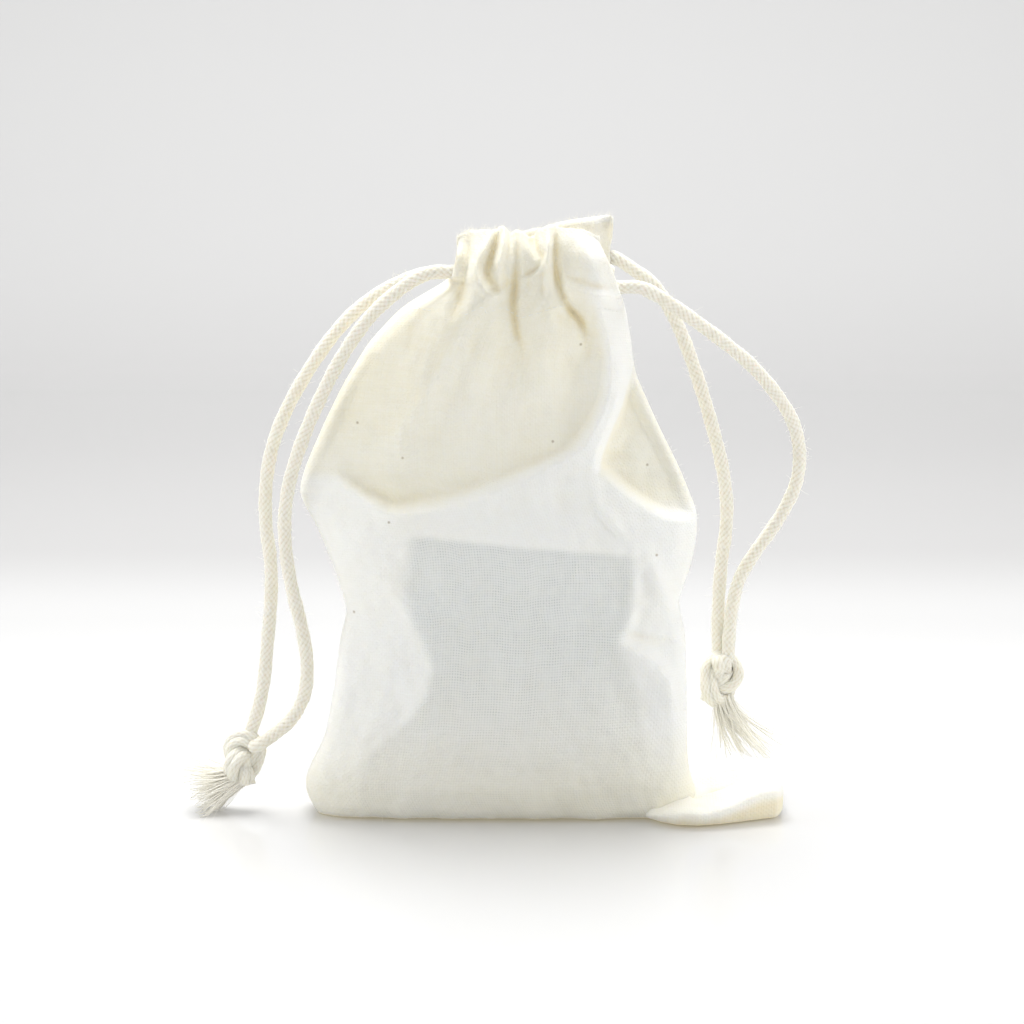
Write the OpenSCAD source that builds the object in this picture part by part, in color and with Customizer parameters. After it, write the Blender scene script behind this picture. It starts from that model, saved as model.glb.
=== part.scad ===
// Small cotton drawstring bag, cinched shut around a flat herb sachet.
// Two drawstrings run through the front and back casings; each one leaves on
// its own side and hangs down to a knot and a frayed tassel.
// Millimetres, +Z up, +Y to the back, origin on the ground under the bag.

/* [Bag] */
// Thickness of the cloth
cloth = 0.6; // [0.5:0.1:0.8]
// Height at which the panels end and the casings begin
neck_h = 84.7; // [84:0.1:85]
// Depth of the front and of the back half at the belly
belly = 11; // [10:0.5:12]

/* [Casing] */
// Height of the folded-over casing that holds the cords
casing_h = 12; // [11:0.5:13]
// Depth of one gathered casing, front to back
casing_d = 5.5; // [5.5:0.1:6]
// Open gap between the front and back casings
mouth_gap = 5.4; // [5:0.2:6]
// Depth of one pleat on the outside of a casing
pleat = 1.2; // [0.6:0.2:1.4]
// Number of pleats across a casing
pleats = 6; // [4:1:8]

/* [Drawstrings] */
// Diameter of the braided cord
cord_d = 2.3; // [2:0.1:2.4]
// Diameter of the knot at the end of a drawstring
knot_d = 7; // [6:0.5:8]

/* [Sachet] */
// Width of the herb sachet inside the bag
sachet_w = 39; // [34:1:39]
// Height of the herb sachet
sachet_h = 43; // [38:1:44]
// Thickness of the herb sachet
sachet_t = 13; // [10:1:14]

/* [Sewing] */
// Diameter of the sewing thread
thread = 0.4; // [0.3:0.1:0.5]
// Length of one stitch
stitch = 1.8; // [1.4:0.2:2.2]

/* [Hidden] */
cotton = "#f2ecd6";
cord_white = "#eee6cf";
sachet_blue = "#dfe6ea";
herb_green = "#7d7a4e";
air = 0.15;

// Outline of the bag by height: [z, value]
left_side = [[0.6, -39], [5, -39.4], [13, -36], [21, -34.5], [30, -33.2], [35, -32.2], [41, -34.2],
             [48, -37], [53.5, -40], [58, -39], [65, -35.6], [72, -31.5], [78.5, -25.5], [neck_h, -15.5]];
right_side = [[0.6, 24], [21, 24], [30, 23.5], [36, 22.2], [41, 24.2], [46, 25.3], [50, 25.3], [58, 22.4],
              [66, 18.3], [74, 14.4], [neck_h, 12.5]];
// Share of the belly depth by height, and how square the outline is
fullness = [[0.6, 0.82], [6, 0.92], [18, 1], [44, 1], [56, 0.96], [70, 0.84], [neck_h, 0.745]];
squareness = [[0.6, 3.4], [25, 3], [45, 2.4], [55, 1.8], [66, 1.9], [neck_h, 2.2]];
rows = 14;
columns = 20;
neck_y = belly * lookup(neck_h, fullness);

// The casings tilt open about the outer edges of the neck, half way up this gap
casing_z = neck_h + 2 * air;
casing_x = [-13.9, 11.5];
casing_y = mouth_gap / 2;
channel_z = [casing_z + 1.2, casing_z + 9];

// Two cords lie one above the other in each casing, and swap over between front and back
cord_y = casing_y + casing_d - cloth - cord_d / 2 - 0.1;
lane = 2.5;
front_low = casing_z + 3.7;
front_high = front_low + lane;
back_low = casing_z + 4.5;
back_high = back_low + lane;
left_front_z = front_high;
left_back_z = back_low;
right_front_z = front_low;
right_back_z = back_high;

// The hanging ends swing about a line through their two exits, clear of the other cord's turn
hinge_out = 3.9;
hinge_left = casing_x[0] - hinge_out;
hinge_right = casing_x[1] + hinge_out;
swing_gap = cord_d / 2 + 0.1;
split_x = -1.2;
cord_sides = 8;

// Routes of the four hanging strands, from the casing down to the knots
left_front_route = [[hinge_left - 0.1, -cord_y, left_front_z], [-20.4, -6.2, 90.2], [-23.8, -5.8, 87.8],
    [-28.2, -5.3, 83.6], [-32.4, -4.9, 77.6], [-36.2, -4.5, 70.4], [-39.2, -4, 63.4], [-41.4, -3.5, 56.4],
    [-42.3, -3, 50.4], [-42.2, -2.5, 44.4], [-41.2, -2, 37.8], [-39.7, -1.6, 31], [-39, -1.3, 25],
    [-39.6, -1.1, 19.8], [-41.8, -1, 15.8], [-45, -1, 13], [-47.8, -1, 11.2]];
left_back_route = [[hinge_left - 0.1, cord_y, left_back_z], [-20.8, 6, 89], [-24.8, 5.4, 87.4],
    [-29.8, 4.8, 84.2], [-34, 4.1, 80], [-38.2, 3.4, 74.2], [-41.8, 2.8, 68], [-44.4, 2.2, 61.6],
    [-45.6, 1.8, 55], [-45.7, 1.6, 48.4], [-45, 1.4, 42], [-45, 1.3, 36], [-45.6, 1.2, 29.4],
    [-46.5, 1.2, 21], [-47.8, 1.2, 15.6], [-49, 1.2, 12.4]];
right_front_route = [[hinge_right + 0.1, -cord_y, right_front_z], [17.8, -5.8, 87.6], [20.6, -5, 85.8],
    [24.4, -3.6, 83], [29, -1.6, 79.4], [34, 0.5, 75], [38.2, 2.5, 70], [41.2, 4.5, 65], [42.5, 6, 59.8],
    [42.2, 7, 54.6], [40.6, 8, 50.2], [38.6, 8.6, 46.6], [35.6, 9.3, 42], [33.2, 9.9, 37.6], [32, 10.3, 32.8],
    [31.5, 10.6, 27.6], [31.2, 10.6, 23.4]];
right_back_route = [[hinge_right + 0.1, cord_y, right_back_z], [17.6, 6.5, 90.4], [19.6, 6.7, 87.4],
    [21.4, 7.2, 82.8], [23.6, 7.8, 77.4], [26, 8.6, 70.6], [28.2, 9.4, 63.4], [29.9, 10.2, 56.8],
    [30.8, 10.8, 50.8], [30.8, 11.4, 45.6], [30.2, 11.9, 40.4], [29.8, 12.2, 34.4], [29.7, 12.4, 28.8],
    [29.8, 12.4, 23.4]];
left_knot_at = [-49.6, 0, 9];
left_knot_dir = [-6, -1, -5];
right_knot_at = [30.4, 11.5, 20.4];
right_knot_dir = [1, 0, -10];
left_tassel_at = [-52.4, -0.5, 6.6];
left_tassel_dir = [-6, -0.6, -3.8];
right_tassel_at = [30.8, 11.5, 16.6];
right_tassel_dir = [2, 0, -8];

// ---- Points and surfaces ----

function unit(v) = v / norm(v);

// Point on the bag's outline at height z: t runs 0..1 from the left seam to the right seam, inset into the cloth
function outline(z, t, inset, side) =
    let (low = lookup(z, left_side) + inset, high = lookup(z, right_side) - inset,
         half = (high - low) / 2, deep = belly * lookup(z, fullness) - inset,
         n = lookup(z, squareness), angle = 180 * (1 - t), c = cos(angle), s = sin(angle))
    [(low + high) / 2 + half * sign(c) * pow(abs(c), 2 / n),
     side * deep * (t == 0 || t == 1 ? 0 : pow(s, 2 / n)), z];

function row_z(i) = cloth + (neck_h - cloth) * i / rows;

// Two triangles of a quad on the grid of a panel
function quad(a, b, c, d) = [[a, b, c], [a, c, d]];

// A closed sheet between two surfaces of (rows + 1) by (columns + 1) points
module shell(outer, inner, flip) {
    w = columns + 1;
    n = (rows + 1) * w;
    faces = [
        for (i = [0 : rows - 1], j = [0 : columns - 1])
            let (a = i * w + j, b = a + 1, c = b + w, d = a + w)
            each concat(quad(a, b, c, d), quad(n + d, n + c, n + b, n + a)),
        for (j = [0 : columns - 1])
            let (a = j, t = rows * w + j)
            each concat(quad(a, n + a, n + a + 1, a + 1), quad(t + 1, n + t + 1, n + t, t)),
        for (i = [0 : rows - 1])
            let (a = i * w, b = i * w + columns)
            each concat(quad(a + w, n + a + w, n + a, a), quad(b, n + b, n + b + w, b + w))];
    polyhedron(concat(outer, inner), flip ? [for (f = faces) [f[2], f[1], f[0]]] : faces);
}

module panel(side) {
    outer = [for (i = [0 : rows], j = [0 : columns]) outline(row_z(i), j / columns, 0, side)];
    inner = [for (i = [0 : rows], j = [0 : columns]) outline(row_z(i), j / columns, cloth, side)];
    shell(outer, inner, side < 0);
}

// A round cord swept along a route; up is a direction that the route never takes
module tube(route, d, up) {
    last = len(route) - 1;
    function along(i) = unit(route[min(i + 1, last)] - route[max(i - 1, 0)]);
    function ring(i) =
        let (t = along(i), u = unit(cross(t, up)), v = cross(t, u))
        [for (k = [0 : cord_sides - 1]) let (a = 360 * k / cord_sides) route[i] + d / 2 * (cos(a) * u + sin(a) * v)];
    points = [for (i = [0 : last]) each ring(i)];
    sides = [for (i = [0 : last - 1], k = [0 : cord_sides - 1])
        let (a = i * cord_sides + k, b = i * cord_sides + (k + 1) % cord_sides)
        each [[a, b, b + cord_sides], [a, b + cord_sides, a + cord_sides]]];
    start = [for (k = [cord_sides - 1 : -1 : 0]) k];
    end = [for (k = [0 : cord_sides - 1]) last * cord_sides + k];
    polyhedron(points, concat([start], sides, [end]));
}

// Stands a child that is drawn along +Z at a place, pointing along a direction
module pointing(at, dir) {
    u = unit(dir);
    translate(at) rotate([0, acos(u.z), atan2(u.y, u.x)]) children();
}

// ---- Cloth ----

module front_panel() color(cotton) panel(-1);
module back_panel() color(cotton) panel(1);

// The folded bottom that the bag stands on, with the footprint of the corner ear
module bottom_fold() color(cotton)
    linear_extrude(cloth) union() {
        polygon(concat(
            [for (j = [0 : columns]) let (p = outline(cloth, j / columns, 0, -1)) [p.x, p.y]],
            [for (j = [columns - 1 : -1 : 1]) let (p = outline(cloth, j / columns, 0, 1)) [p.x, p.y]]));
        translate([22, -7.5]) square([18, 14]);
    }

// The spare bottom corner, lying flat beside the bag with its end lifted
module corner_ear() color(cotton)
    hull() {
        for (y = [-5.5, 4.5]) {
            translate([25.3, y, cloth]) cylinder(h = 4.2, r = 1, $fn = 24);
            translate([39, y, cloth]) cylinder(h = 3.6, r = 1, $fn = 24);
        }
    }

// Seam allowance inside a side seam: a narrow strip that follows the bag's edge
module seam_strip(edge, side) {
    heights = [for (i = [1 : rows - 1]) row_z(i)];
    wide = 3.6;
    thick = 0.9;
    near = [for (z = heights) [lookup(z, edge) + side * (cloth + 0.4), z]];
    far = [for (i = [len(heights) - 1 : -1 : 0]) near[i] + [side * wide, 0]];
    rotate([90, 0, 0]) translate([0, 0, -thick / 2]) linear_extrude(thick) polygon(concat(near, far));
}

module left_seam() color(cotton) seam_strip(left_side, 1);
module right_seam() color(cotton) seam_strip(right_side, -1);

// Lock stitches through a seam allowance
module seam_stitches(edge, side) {
    pitch = 6;
    for (z = [12 : pitch : 78])
        translate([lookup(z, edge) + side * (cloth + 2), 0, z])
            rotate([90, 0, 0]) cylinder(h = 1.8, d = thread, center = true, $fn = 16);
}

module left_seam_stitches() color("white") seam_stitches(left_side, 1);
module right_seam_stitches() color("white") seam_stitches(right_side, -1);

// ---- Casings ----

// Outside of a gathered casing: depth beyond the flat face at x
function pleat_at(x) = pleat / 2 * (1 - cos(360 * pleats * (x - casing_x[0]) / (casing_x[1] - casing_x[0])));

// One casing, drawn as the back one: a pleated band with a channel for two cords
module casing() {
    outer_y = casing_y + casing_d;
    steps = 8 * pleats;
    crest = [for (i = [steps : -1 : 0])
        let (x = casing_x[0] + (casing_x[1] - casing_x[0]) * i / steps) [x, outer_y + pleat_at(x)]];
    difference() {
        translate([0, 0, casing_z]) linear_extrude(casing_h)
            polygon(concat([[casing_x[0], casing_y], [casing_x[1], casing_y]], crest));
        translate([casing_x[0] - 1, casing_y + cloth, channel_z[0]])
            cube([casing_x[1] - casing_x[0] + 2, casing_d - 2 * cloth, channel_z[1] - channel_z[0]]);
    }
}

// Row of stitches that closes a casing, with a short row up each end
module casing_stitches() {
    outer_y = casing_y + casing_d;
    step = 2 * stitch;
    for (x = [casing_x[0] + 1.4 : step : casing_x[1] - stitch])
        translate([x, outer_y + pleat_at(x + stitch / 2), casing_z + 0.6])
            rotate([0, 90, 0]) cylinder(h = stitch, d = thread, $fn = 16);
    for (x = [casing_x[0] + 0.6, casing_x[1] - 0.6], z = [casing_z + 1.2 : step : casing_z + casing_h - stitch])
        translate([x, outer_y + pleat_at(x), z]) cylinder(h = stitch, d = thread, $fn = 16);
}

module front_casing() color(cotton) mirror([0, 1, 0]) casing();
module front_casing_stitches() color("white") mirror([0, 1, 0]) casing_stitches();

// The back casing has one corner that stands up out of the gathers
module back_casing() color(cotton) {
    corner_y = 6.8;
    corner_t = 1.2;
    top = casing_z + casing_h;
    union() {
        casing();
        translate([0, corner_y, 0]) rotate([90, 0, 0]) linear_extrude(corner_t)
            polygon([[2.5, top - 2], [11.4, top - 2], [11.4, top + 3.2], [10, top + 3.2], [2.5, top + 1]]);
    }
}
module back_casing_stitches() color("white") casing_stitches();

// ---- Drawstrings ----

// The straight stretches of one drawstring inside its two casings, on its own side
module cord_inner(from, to, front_z, back_z)
    for (place = [[-cord_y, front_z], [cord_y, back_z]])
        translate([from, place[0], place[1]]) rotate([0, 90, 0]) cylinder(h = to - from, d = cord_d, $fn = 32);

// The far end of one drawstring: out of the front casing, round the side gap and into the back casing
module cord_bight(from, side, end, front_z, back_z) {
    bend = 2;
    cross_x = end + side * 1.35;
    tube([[from, -cord_y, front_z], [end - side * 3, -cord_y, front_z], [cross_x - side * bend, -cord_y, front_z],
          [cross_x - side * bend * 0.3, -cord_y + bend * 0.3, front_z],
          [cross_x, -cord_y + bend, front_z + (back_z - front_z) * 0.05],
          [cross_x, 0, (front_z + back_z) / 2],
          [cross_x, cord_y - bend, back_z - (back_z - front_z) * 0.05],
          [cross_x - side * bend * 0.3, cord_y - bend * 0.3, back_z],
          [cross_x - side * bend, cord_y, back_z], [end - side * 3, cord_y, back_z], [from, cord_y, back_z]],
         cord_d, [0, 0, 1]);
}

module strand(route) tube(route, cord_d, [0, 1, 0]);

// Knot: three turns of cord pulled tight round the two strands
module knot(at, dir) {
    turns = 3;
    pitch = 2;
    pointing(at, dir) rotate_extrude($fn = 48) {
        translate([0, -pitch * turns / 2 + 0.4]) square([knot_d / 2 - cord_d / 2, pitch * turns - 0.8]);
        for (i = [0 : turns - 1])
            translate([knot_d / 2 - cord_d / 2, (i - (turns - 1) / 2) * pitch]) circle(d = cord_d, $fn = 32);
    }
}

// Tassel: the frayed yarns below a knot, spreading towards their cut ends
module tassel(at, dir, long, narrow, wide)
    pointing(at, dir) cylinder(h = long, r1 = narrow, r2 = wide, $fn = 48);

module left_cord_inner() color(cord_white)
    cord_inner(hinge_left + swing_gap, split_x - 0.2, left_front_z, left_back_z);
module left_cord_bight() color(cord_white)
    cord_bight(split_x + 0.2, 1, casing_x[1], left_front_z, left_back_z);
module right_cord_inner() color(cord_white)
    cord_inner(split_x + 0.2, hinge_right - swing_gap, right_front_z, right_back_z);
module right_cord_bight() color(cord_white)
    cord_bight(split_x - 0.2, -1, casing_x[0], right_front_z, right_back_z);
module left_front_strand() color(cord_white) strand(left_front_route);
module left_back_strand() color(cord_white) strand(left_back_route);
module right_front_strand() color(cord_white) strand(right_front_route);
module right_back_strand() color(cord_white) strand(right_back_route);
module left_knot() color(cord_white) knot(left_knot_at, left_knot_dir);
module right_knot() color(cord_white) knot(right_knot_at, right_knot_dir);
module left_tassel() color(cord_white) tassel(left_tassel_at, left_tassel_dir, 7, 1.6, 2.3);
module right_tassel() color(cord_white) tassel(right_tassel_at, right_tassel_dir, 9, 1.6, 3.4);

// ---- Contents ----

// Places the sachet: it stands on the bottom fold and leans a little to the right
module in_bag() translate([-5.4, 0, 2]) rotate([0, 3, 0]) translate([-sachet_w / 2, 0, 0]) children();

module sachet_block(inset) {
    round_r = 3 - inset;
    translate([inset, -sachet_t / 2 + inset, inset])
        linear_extrude(sachet_h - 2 * inset)
            offset(r = round_r) offset(delta = -round_r)
                square([sachet_w - 2 * inset, sachet_t - 2 * inset]);
}

module inner_sachet() color(sachet_blue)
    in_bag() difference() {
        sachet_block(0);
        sachet_block(0.4);
    }
module herb_filling() color(herb_green) in_bag() sachet_block(0.45);

front_panel();
back_panel();
bottom_fold();
corner_ear();
left_seam();
right_seam();
left_seam_stitches();
right_seam_stitches();
inner_sachet();
herb_filling();
front_casing();
front_casing_stitches();
back_casing();
back_casing_stitches();
left_cord_inner();
left_cord_bight();
left_front_strand();
left_back_strand();
left_knot();
left_tassel();
right_cord_inner();
right_cord_bight();
right_front_strand();
right_back_strand();
right_knot();
right_tassel();
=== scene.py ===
"""A small cotton drawstring bag, gathered shut round a flat herb sachet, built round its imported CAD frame.

Shapes are worked out in millimetres in the row frame (+X right, +Y back, +Z up); make_piece() scales them
to metres.
"""

import math

import bpy
import numpy as np
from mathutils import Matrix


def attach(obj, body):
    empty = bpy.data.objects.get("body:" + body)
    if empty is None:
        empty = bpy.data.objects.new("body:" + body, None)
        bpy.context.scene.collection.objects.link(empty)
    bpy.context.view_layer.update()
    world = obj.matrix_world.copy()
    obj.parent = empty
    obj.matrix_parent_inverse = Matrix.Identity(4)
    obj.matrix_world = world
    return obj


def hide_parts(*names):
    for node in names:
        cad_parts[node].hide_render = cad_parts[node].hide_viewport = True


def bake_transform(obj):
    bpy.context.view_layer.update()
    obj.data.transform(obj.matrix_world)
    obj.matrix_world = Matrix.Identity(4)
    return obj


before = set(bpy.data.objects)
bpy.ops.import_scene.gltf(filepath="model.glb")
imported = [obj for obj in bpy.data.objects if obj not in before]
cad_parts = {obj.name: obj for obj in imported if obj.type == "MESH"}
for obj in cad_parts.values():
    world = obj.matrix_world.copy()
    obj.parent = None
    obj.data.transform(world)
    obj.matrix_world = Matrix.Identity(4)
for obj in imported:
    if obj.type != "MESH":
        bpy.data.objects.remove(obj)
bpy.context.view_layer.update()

MM = 0.001
UP = np.array([0.0, 0.0, 1.0])
FLOOR_Z = 0.0


# ---------------------------------------------------------------- general helpers

def smooth(t):
    """0 to 1 with a soft start and end."""
    t = np.clip(t, 0.0, 1.0)
    return t * t * (3 - 2 * t)


def table(value, points):
    """Value of a [place, value] list at a place, straight between its points."""
    places, values = zip(*points)
    return np.interp(value, places, values)


def unit(v):
    return v / np.maximum(np.linalg.norm(v, axis=-1, keepdims=True), 1e-12)


def run(line):
    """How far along a line each of its points lies."""
    return np.concatenate([[0], np.cumsum(np.linalg.norm(np.diff(line, axis=0), axis=1))])


def smooth_line(points, step):
    """An even row of points on one smooth curve through given points (Catmull-Rom by chord)."""
    p = np.asarray(points, float)
    p = np.vstack([2 * p[0] - p[1], p, 2 * p[-1] - p[-2]])
    knots = np.concatenate([[0], np.cumsum(np.sqrt(np.linalg.norm(np.diff(p, axis=0), axis=1)))])
    fine = []
    for i in range(1, len(p) - 2):
        t0, t1, t2, t3 = knots[i - 1:i + 3]
        t = np.linspace(t1, t2, 16, endpoint=False)[:, None]
        a1 = (t1 - t) / (t1 - t0) * p[i - 1] + (t - t0) / (t1 - t0) * p[i]
        a2 = (t2 - t) / (t2 - t1) * p[i] + (t - t1) / (t2 - t1) * p[i + 1]
        a3 = (t3 - t) / (t3 - t2) * p[i + 1] + (t - t2) / (t3 - t2) * p[i + 2]
        b1 = (t2 - t) / (t2 - t0) * a1 + (t - t0) / (t2 - t0) * a2
        b2 = (t3 - t) / (t3 - t1) * a2 + (t - t1) / (t3 - t1) * a3
        fine.append((t2 - t) / (t2 - t1) * b1 + (t - t1) / (t2 - t1) * b2)
    fine = np.vstack(fine + [p[-2:-1]])
    length = run(fine)
    even = np.linspace(0, length[-1], max(2, int(round(length[-1] / step)) + 1))
    return np.column_stack([np.interp(even, length, fine[:, k]) for k in range(fine.shape[1])])


def ripple(a, b, size, seed, waves=14):
    """Soft random unevenness, about -1 to 1, with bumps of about the given size."""
    rng = np.random.default_rng(seed)
    total = np.zeros_like(a)
    for _ in range(waves):
        angle, phase = rng.uniform(0, 2 * math.pi, 2)
        k = 2 * math.pi / size * rng.uniform(0.6, 1.5)
        total += np.sin(k * (a * math.cos(angle) + b * math.sin(angle)) + phase)
    return total / math.sqrt(waves)


def grid_faces(rows, columns, wrap=False, flip=False):
    """Quads of a grid of points, rows by columns; wrap joins the last column to the first."""
    i = np.arange(rows - 1)[:, None] * columns
    j = np.arange(columns if wrap else columns - 1)[None, :]
    k = (j + 1) % columns
    quads = np.stack([i + j, i + k, i + k + columns, i + j + columns], axis=-1).reshape(-1, 4)
    return quads[:, ::-1] if flip else quads


def grid_border(rows, columns):
    """The outermost points of a grid, in order round it."""
    return ([*range(columns)] + [r * columns + columns - 1 for r in range(1, rows)]
            + [(rows - 1) * columns + c for c in range(columns - 2, -1, -1)]
            + [r * columns for r in range(rows - 2, 0, -1)])


def joined(parts):
    """Several (points, faces, coordinates) as one."""
    all_points, all_faces, all_flats, start = [], [], [], 0
    for points, faces, flat in parts:
        all_points.append(points)
        all_flats.append(flat)
        all_faces.extend([[i + start for i in face] for face in faces])
        start += len(points)
    return np.vstack(all_points), all_faces, np.vstack(all_flats)


def make_piece(name, points, faces, material, attributes=None):
    """A smooth-shaded mesh object from points in millimetres."""
    mesh = bpy.data.meshes.new(name)
    mesh.from_pydata((np.asarray(points) * MM).tolist(), [], [list(map(int, f)) for f in faces])
    for key, values in (attributes or {}).items():
        layer = mesh.attributes.new(key, "FLOAT_VECTOR", "POINT")
        layer.data.foreach_set("vector", np.asarray(values, np.float32).ravel())
    mesh.polygons.foreach_set("use_smooth", [True] * len(mesh.polygons))
    mesh.validate()
    mesh.update()
    piece = bpy.data.objects.new(name, mesh)
    bpy.context.scene.collection.objects.link(piece)
    mesh.materials.append(material)
    return piece


# ---------------------------------------------------------------- camera

def make_camera():
    """Level with the mouth of the bag, looking a little down, from 600 mm away."""
    distance, elevation, width_seen = 600, math.radians(11), 168.4
    aim = np.array([-5.1, 0, 50.7])
    data = bpy.data.cameras.new("camera")
    data.sensor_width = 36
    data.lens = data.sensor_width * distance / width_seen
    camera = bpy.data.objects.new("camera", data)
    bpy.context.scene.collection.objects.link(camera)
    back = np.array([0, -math.cos(elevation), math.sin(elevation)])
    camera.location = (aim + distance * back) * MM
    camera.rotation_euler = (math.pi / 2 - elevation, 0, 0)
    data.clip_start, data.clip_end = 0.01, 10
    bpy.context.scene.camera = camera


make_camera()


# ---------------------------------------------------------------- materials

class Nodes:
    """A short way to build a node material."""

    def __init__(self, name):
        self.material = bpy.data.materials.new(name)
        self.material.use_nodes = True
        self.tree = self.material.node_tree
        self.shader = self.tree.nodes["Principled BSDF"]

    def add(self, kind, values=None, **settings):
        node = self.tree.nodes.new(kind)
        for key, value in settings.items():
            setattr(node, key, value)
        for key, value in (values or {}).items():
            self.put(node.inputs[key], value)
        return node

    def put(self, socket, value):
        if isinstance(value, bpy.types.NodeSocket):
            self.tree.links.new(value, socket)
        else:
            socket.default_value = value

    def surface(self, values):
        """Set inputs of the surface shader and return the finished material."""
        for key, value in values.items():
            self.put(self.shader.inputs[key], value)
        return self.material

    def math(self, operation, a, b=0.0):
        return self.add("ShaderNodeMath", {0: a, 1: b}, operation=operation).outputs[0]

    def times(self, a, b):
        return self.math("MULTIPLY", a, b)

    def plus(self, a, b):
        return self.math("ADD", a, b)

    def vector(self, operation, a, b, output=0):
        return self.add("ShaderNodeVectorMath", {0: a, 1: b}, operation=operation).outputs[output]

    def mix(self, factor, a, b):
        return self.add("ShaderNodeMix", {0: factor, 6: a, 7: b}, data_type="RGBA").outputs[2]

    def ramp(self, value, low, high, to_low=0.0, to_high=1.0):
        """Value moved smoothly from low..high to to_low..to_high."""
        node = self.add("ShaderNodeMapRange", {0: value, 1: low, 2: high, 3: to_low, 4: to_high},
                        interpolation_type="SMOOTHSTEP")
        return node.outputs[0]

    def noise(self, vector, scale, detail=2.0, rough=0.5, stretch=None):
        if stretch:
            vector = self.vector("MULTIPLY", vector, stretch)
        values = {"Vector": vector, "Scale": scale, "Detail": detail, "Roughness": rough}
        return self.add("ShaderNodeTexNoise", values).outputs[0]

    def place(self):
        """The place on the object in millimetres, as a vector."""
        here = self.add("ShaderNodeTexCoord").outputs["Object"]
        return self.add("ShaderNodeVectorMath", {0: here, "Scale": 1 / MM}, operation="SCALE").outputs[0]

    def attribute(self, name):
        return self.add("ShaderNodeAttribute", attribute_name=name).outputs["Vector"]

    def split(self, vector):
        return self.add("ShaderNodeSeparateXYZ", {0: vector}).outputs

    def bump(self, height, distance, strength):
        values = {"Height": height, "Distance": distance, "Strength": strength}
        return self.add("ShaderNodeBump", values).outputs[0]


THREAD = 0.44       # distance from one thread of the cloth to the next
HUSK = (0.3, 0.22, 0.12, 1)
# Husk specks in the cloth, at (x, z)
SPECKS = [(6, 79.5), (17, 59), (-30.2, 66.4), (-22.8, 61.2), (1.5, 63.8), (-25, 51), (-31, 35), (18.4, 45.3)]


def cloth_material(name, warm=(0.93, 0.885, 0.725, 1), pale=(0.985, 0.98, 0.925, 1)):
    """Unbleached plain-weave muslin: uneven threads, tiny holes between them and a few husk specks."""
    n = Nodes(name)
    flat = n.attribute("flat")
    here = n.place()
    z = n.split(here)[2]
    across, along, deep = n.split(flat)
    shade_warmth, behind, _ = n.split(n.attribute("tone"))

    slub_along = n.noise(flat, 1.0, 2.0, stretch=(1 / THREAD, 0.2, 1))
    slub_across = n.noise(flat, 1.0, 2.0, stretch=(0.2, 1 / THREAD, 1))
    stray_x = n.times(n.noise(flat, 1.0, 2.0, 0.6, stretch=(0.7, 0.05, 1)), 0.35)
    stray_z = n.times(n.noise(flat, 1.0, 2.0, 0.6, stretch=(0.05, 0.7, 1)), 0.35)
    turn = math.pi / THREAD
    wave_x = n.math("SINE", n.times(n.plus(across, stray_x), turn))
    wave_z = n.math("SINE", n.times(n.plus(along, stray_z), turn))
    over = n.times(wave_x, wave_z)
    thread_x = n.math("ABSOLUTE", wave_x)
    thread_z = n.math("ABSOLUTE", wave_z)
    body = n.times(thread_x, thread_z)
    slubs = n.plus(n.ramp(slub_along, 0.35, 0.7), n.ramp(slub_across, 0.35, 0.7))
    height = n.plus(n.times(over, 0.35), n.times(body, 0.5))
    height = n.plus(height, n.times(slubs, 0.35))
    line = n.ramp(n.plus(body, n.times(slubs, 0.12)), 0.05, 0.5, 0.45, 0.0)
    dot = n.ramp(n.math("MAXIMUM", thread_x, thread_z), 0.25, 0.85, 1.0, 0.0)
    dot = n.times(dot, n.ramp(n.noise(here, 0.5, 2.0), 0.3, 0.7, 0.4, 1.2))
    hole = n.math("MAXIMUM", line, dot)

    patch = n.times(n.math("SUBTRACT", n.noise(here, 0.06, 3.0), 0.5), 0.9)
    # painted shade: the cloth is painted warmer where make_side marks it as lying in shade; patch adds random
    # tone
    tone = n.mix(n.plus(shade_warmth, patch), pale, warm)
    # painted shade: a warm, darker yellow deep in folds and hollows, where shade falls
    tone = n.mix(n.times(deep, 0.78), tone, (0.9, 0.765, 0.46, 1))
    tone = n.mix(n.times(slubs, 0.16), tone, (0.96, 0.94, 0.88, 1))
    # painted show-through: where the sachet lies behind the front, the cloth and its weave holes turn grey,
    # partly the sachet's own colour and partly the shade behind the cloth; elsewhere the holes are painted a
    # darker warm shade
    wobble = n.times(n.math("SUBTRACT", n.noise(here, 0.15, 3.0), 0.5), 0.5)
    behind = n.ramp(n.plus(behind, n.times(behind, wobble)), 0.0, 1.0)
    grey = n.mix(n.ramp(z, 6.0, 36.0), (0.76, 0.73, 0.62, 1), (0.66, 0.685, 0.67, 1))
    tone = n.mix(n.times(behind, 0.46), tone, grey)
    shade = n.mix(behind, (0.8, 0.75, 0.6, 1), (0.44, 0.46, 0.44, 1))
    hole_share = n.ramp(behind, 0.0, 1.0, 0.17, 0.55)
    tone = n.mix(n.times(hole, hole_share), tone, shade)
    speck = 0.0
    for sx, sz in SPECKS:
        gap = n.vector("DISTANCE", n.vector("MULTIPLY", here, (1, 0, 1)), (sx, 0, sz), "Value")
        speck = n.math("MAXIMUM", speck, n.ramp(gap, 0.06, 0.34, 0.6, 0.0))
    return n.surface({
        "Base Color": n.mix(speck, tone, HUSK), "Roughness": 0.92, "Sheen Weight": 0.25,
        "Sheen Roughness": 0.45, "Specular IOR Level": 0.25, "Subsurface Weight": 0.25,
        "Subsurface Radius": (1.0, 0.8, 0.5), "Subsurface Scale": 0.0015,
        # painted glow: a warm emission near the table stands in for light that comes through the cloth where
        # it touches the white table
        "Emission Color": (0.95, 0.84, 0.58, 1), "Emission Strength": n.ramp(z, 0.0, 0.9, 0.24, 0.0),
        "Normal": n.bump(height, 0.00006, 0.9)})


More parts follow.
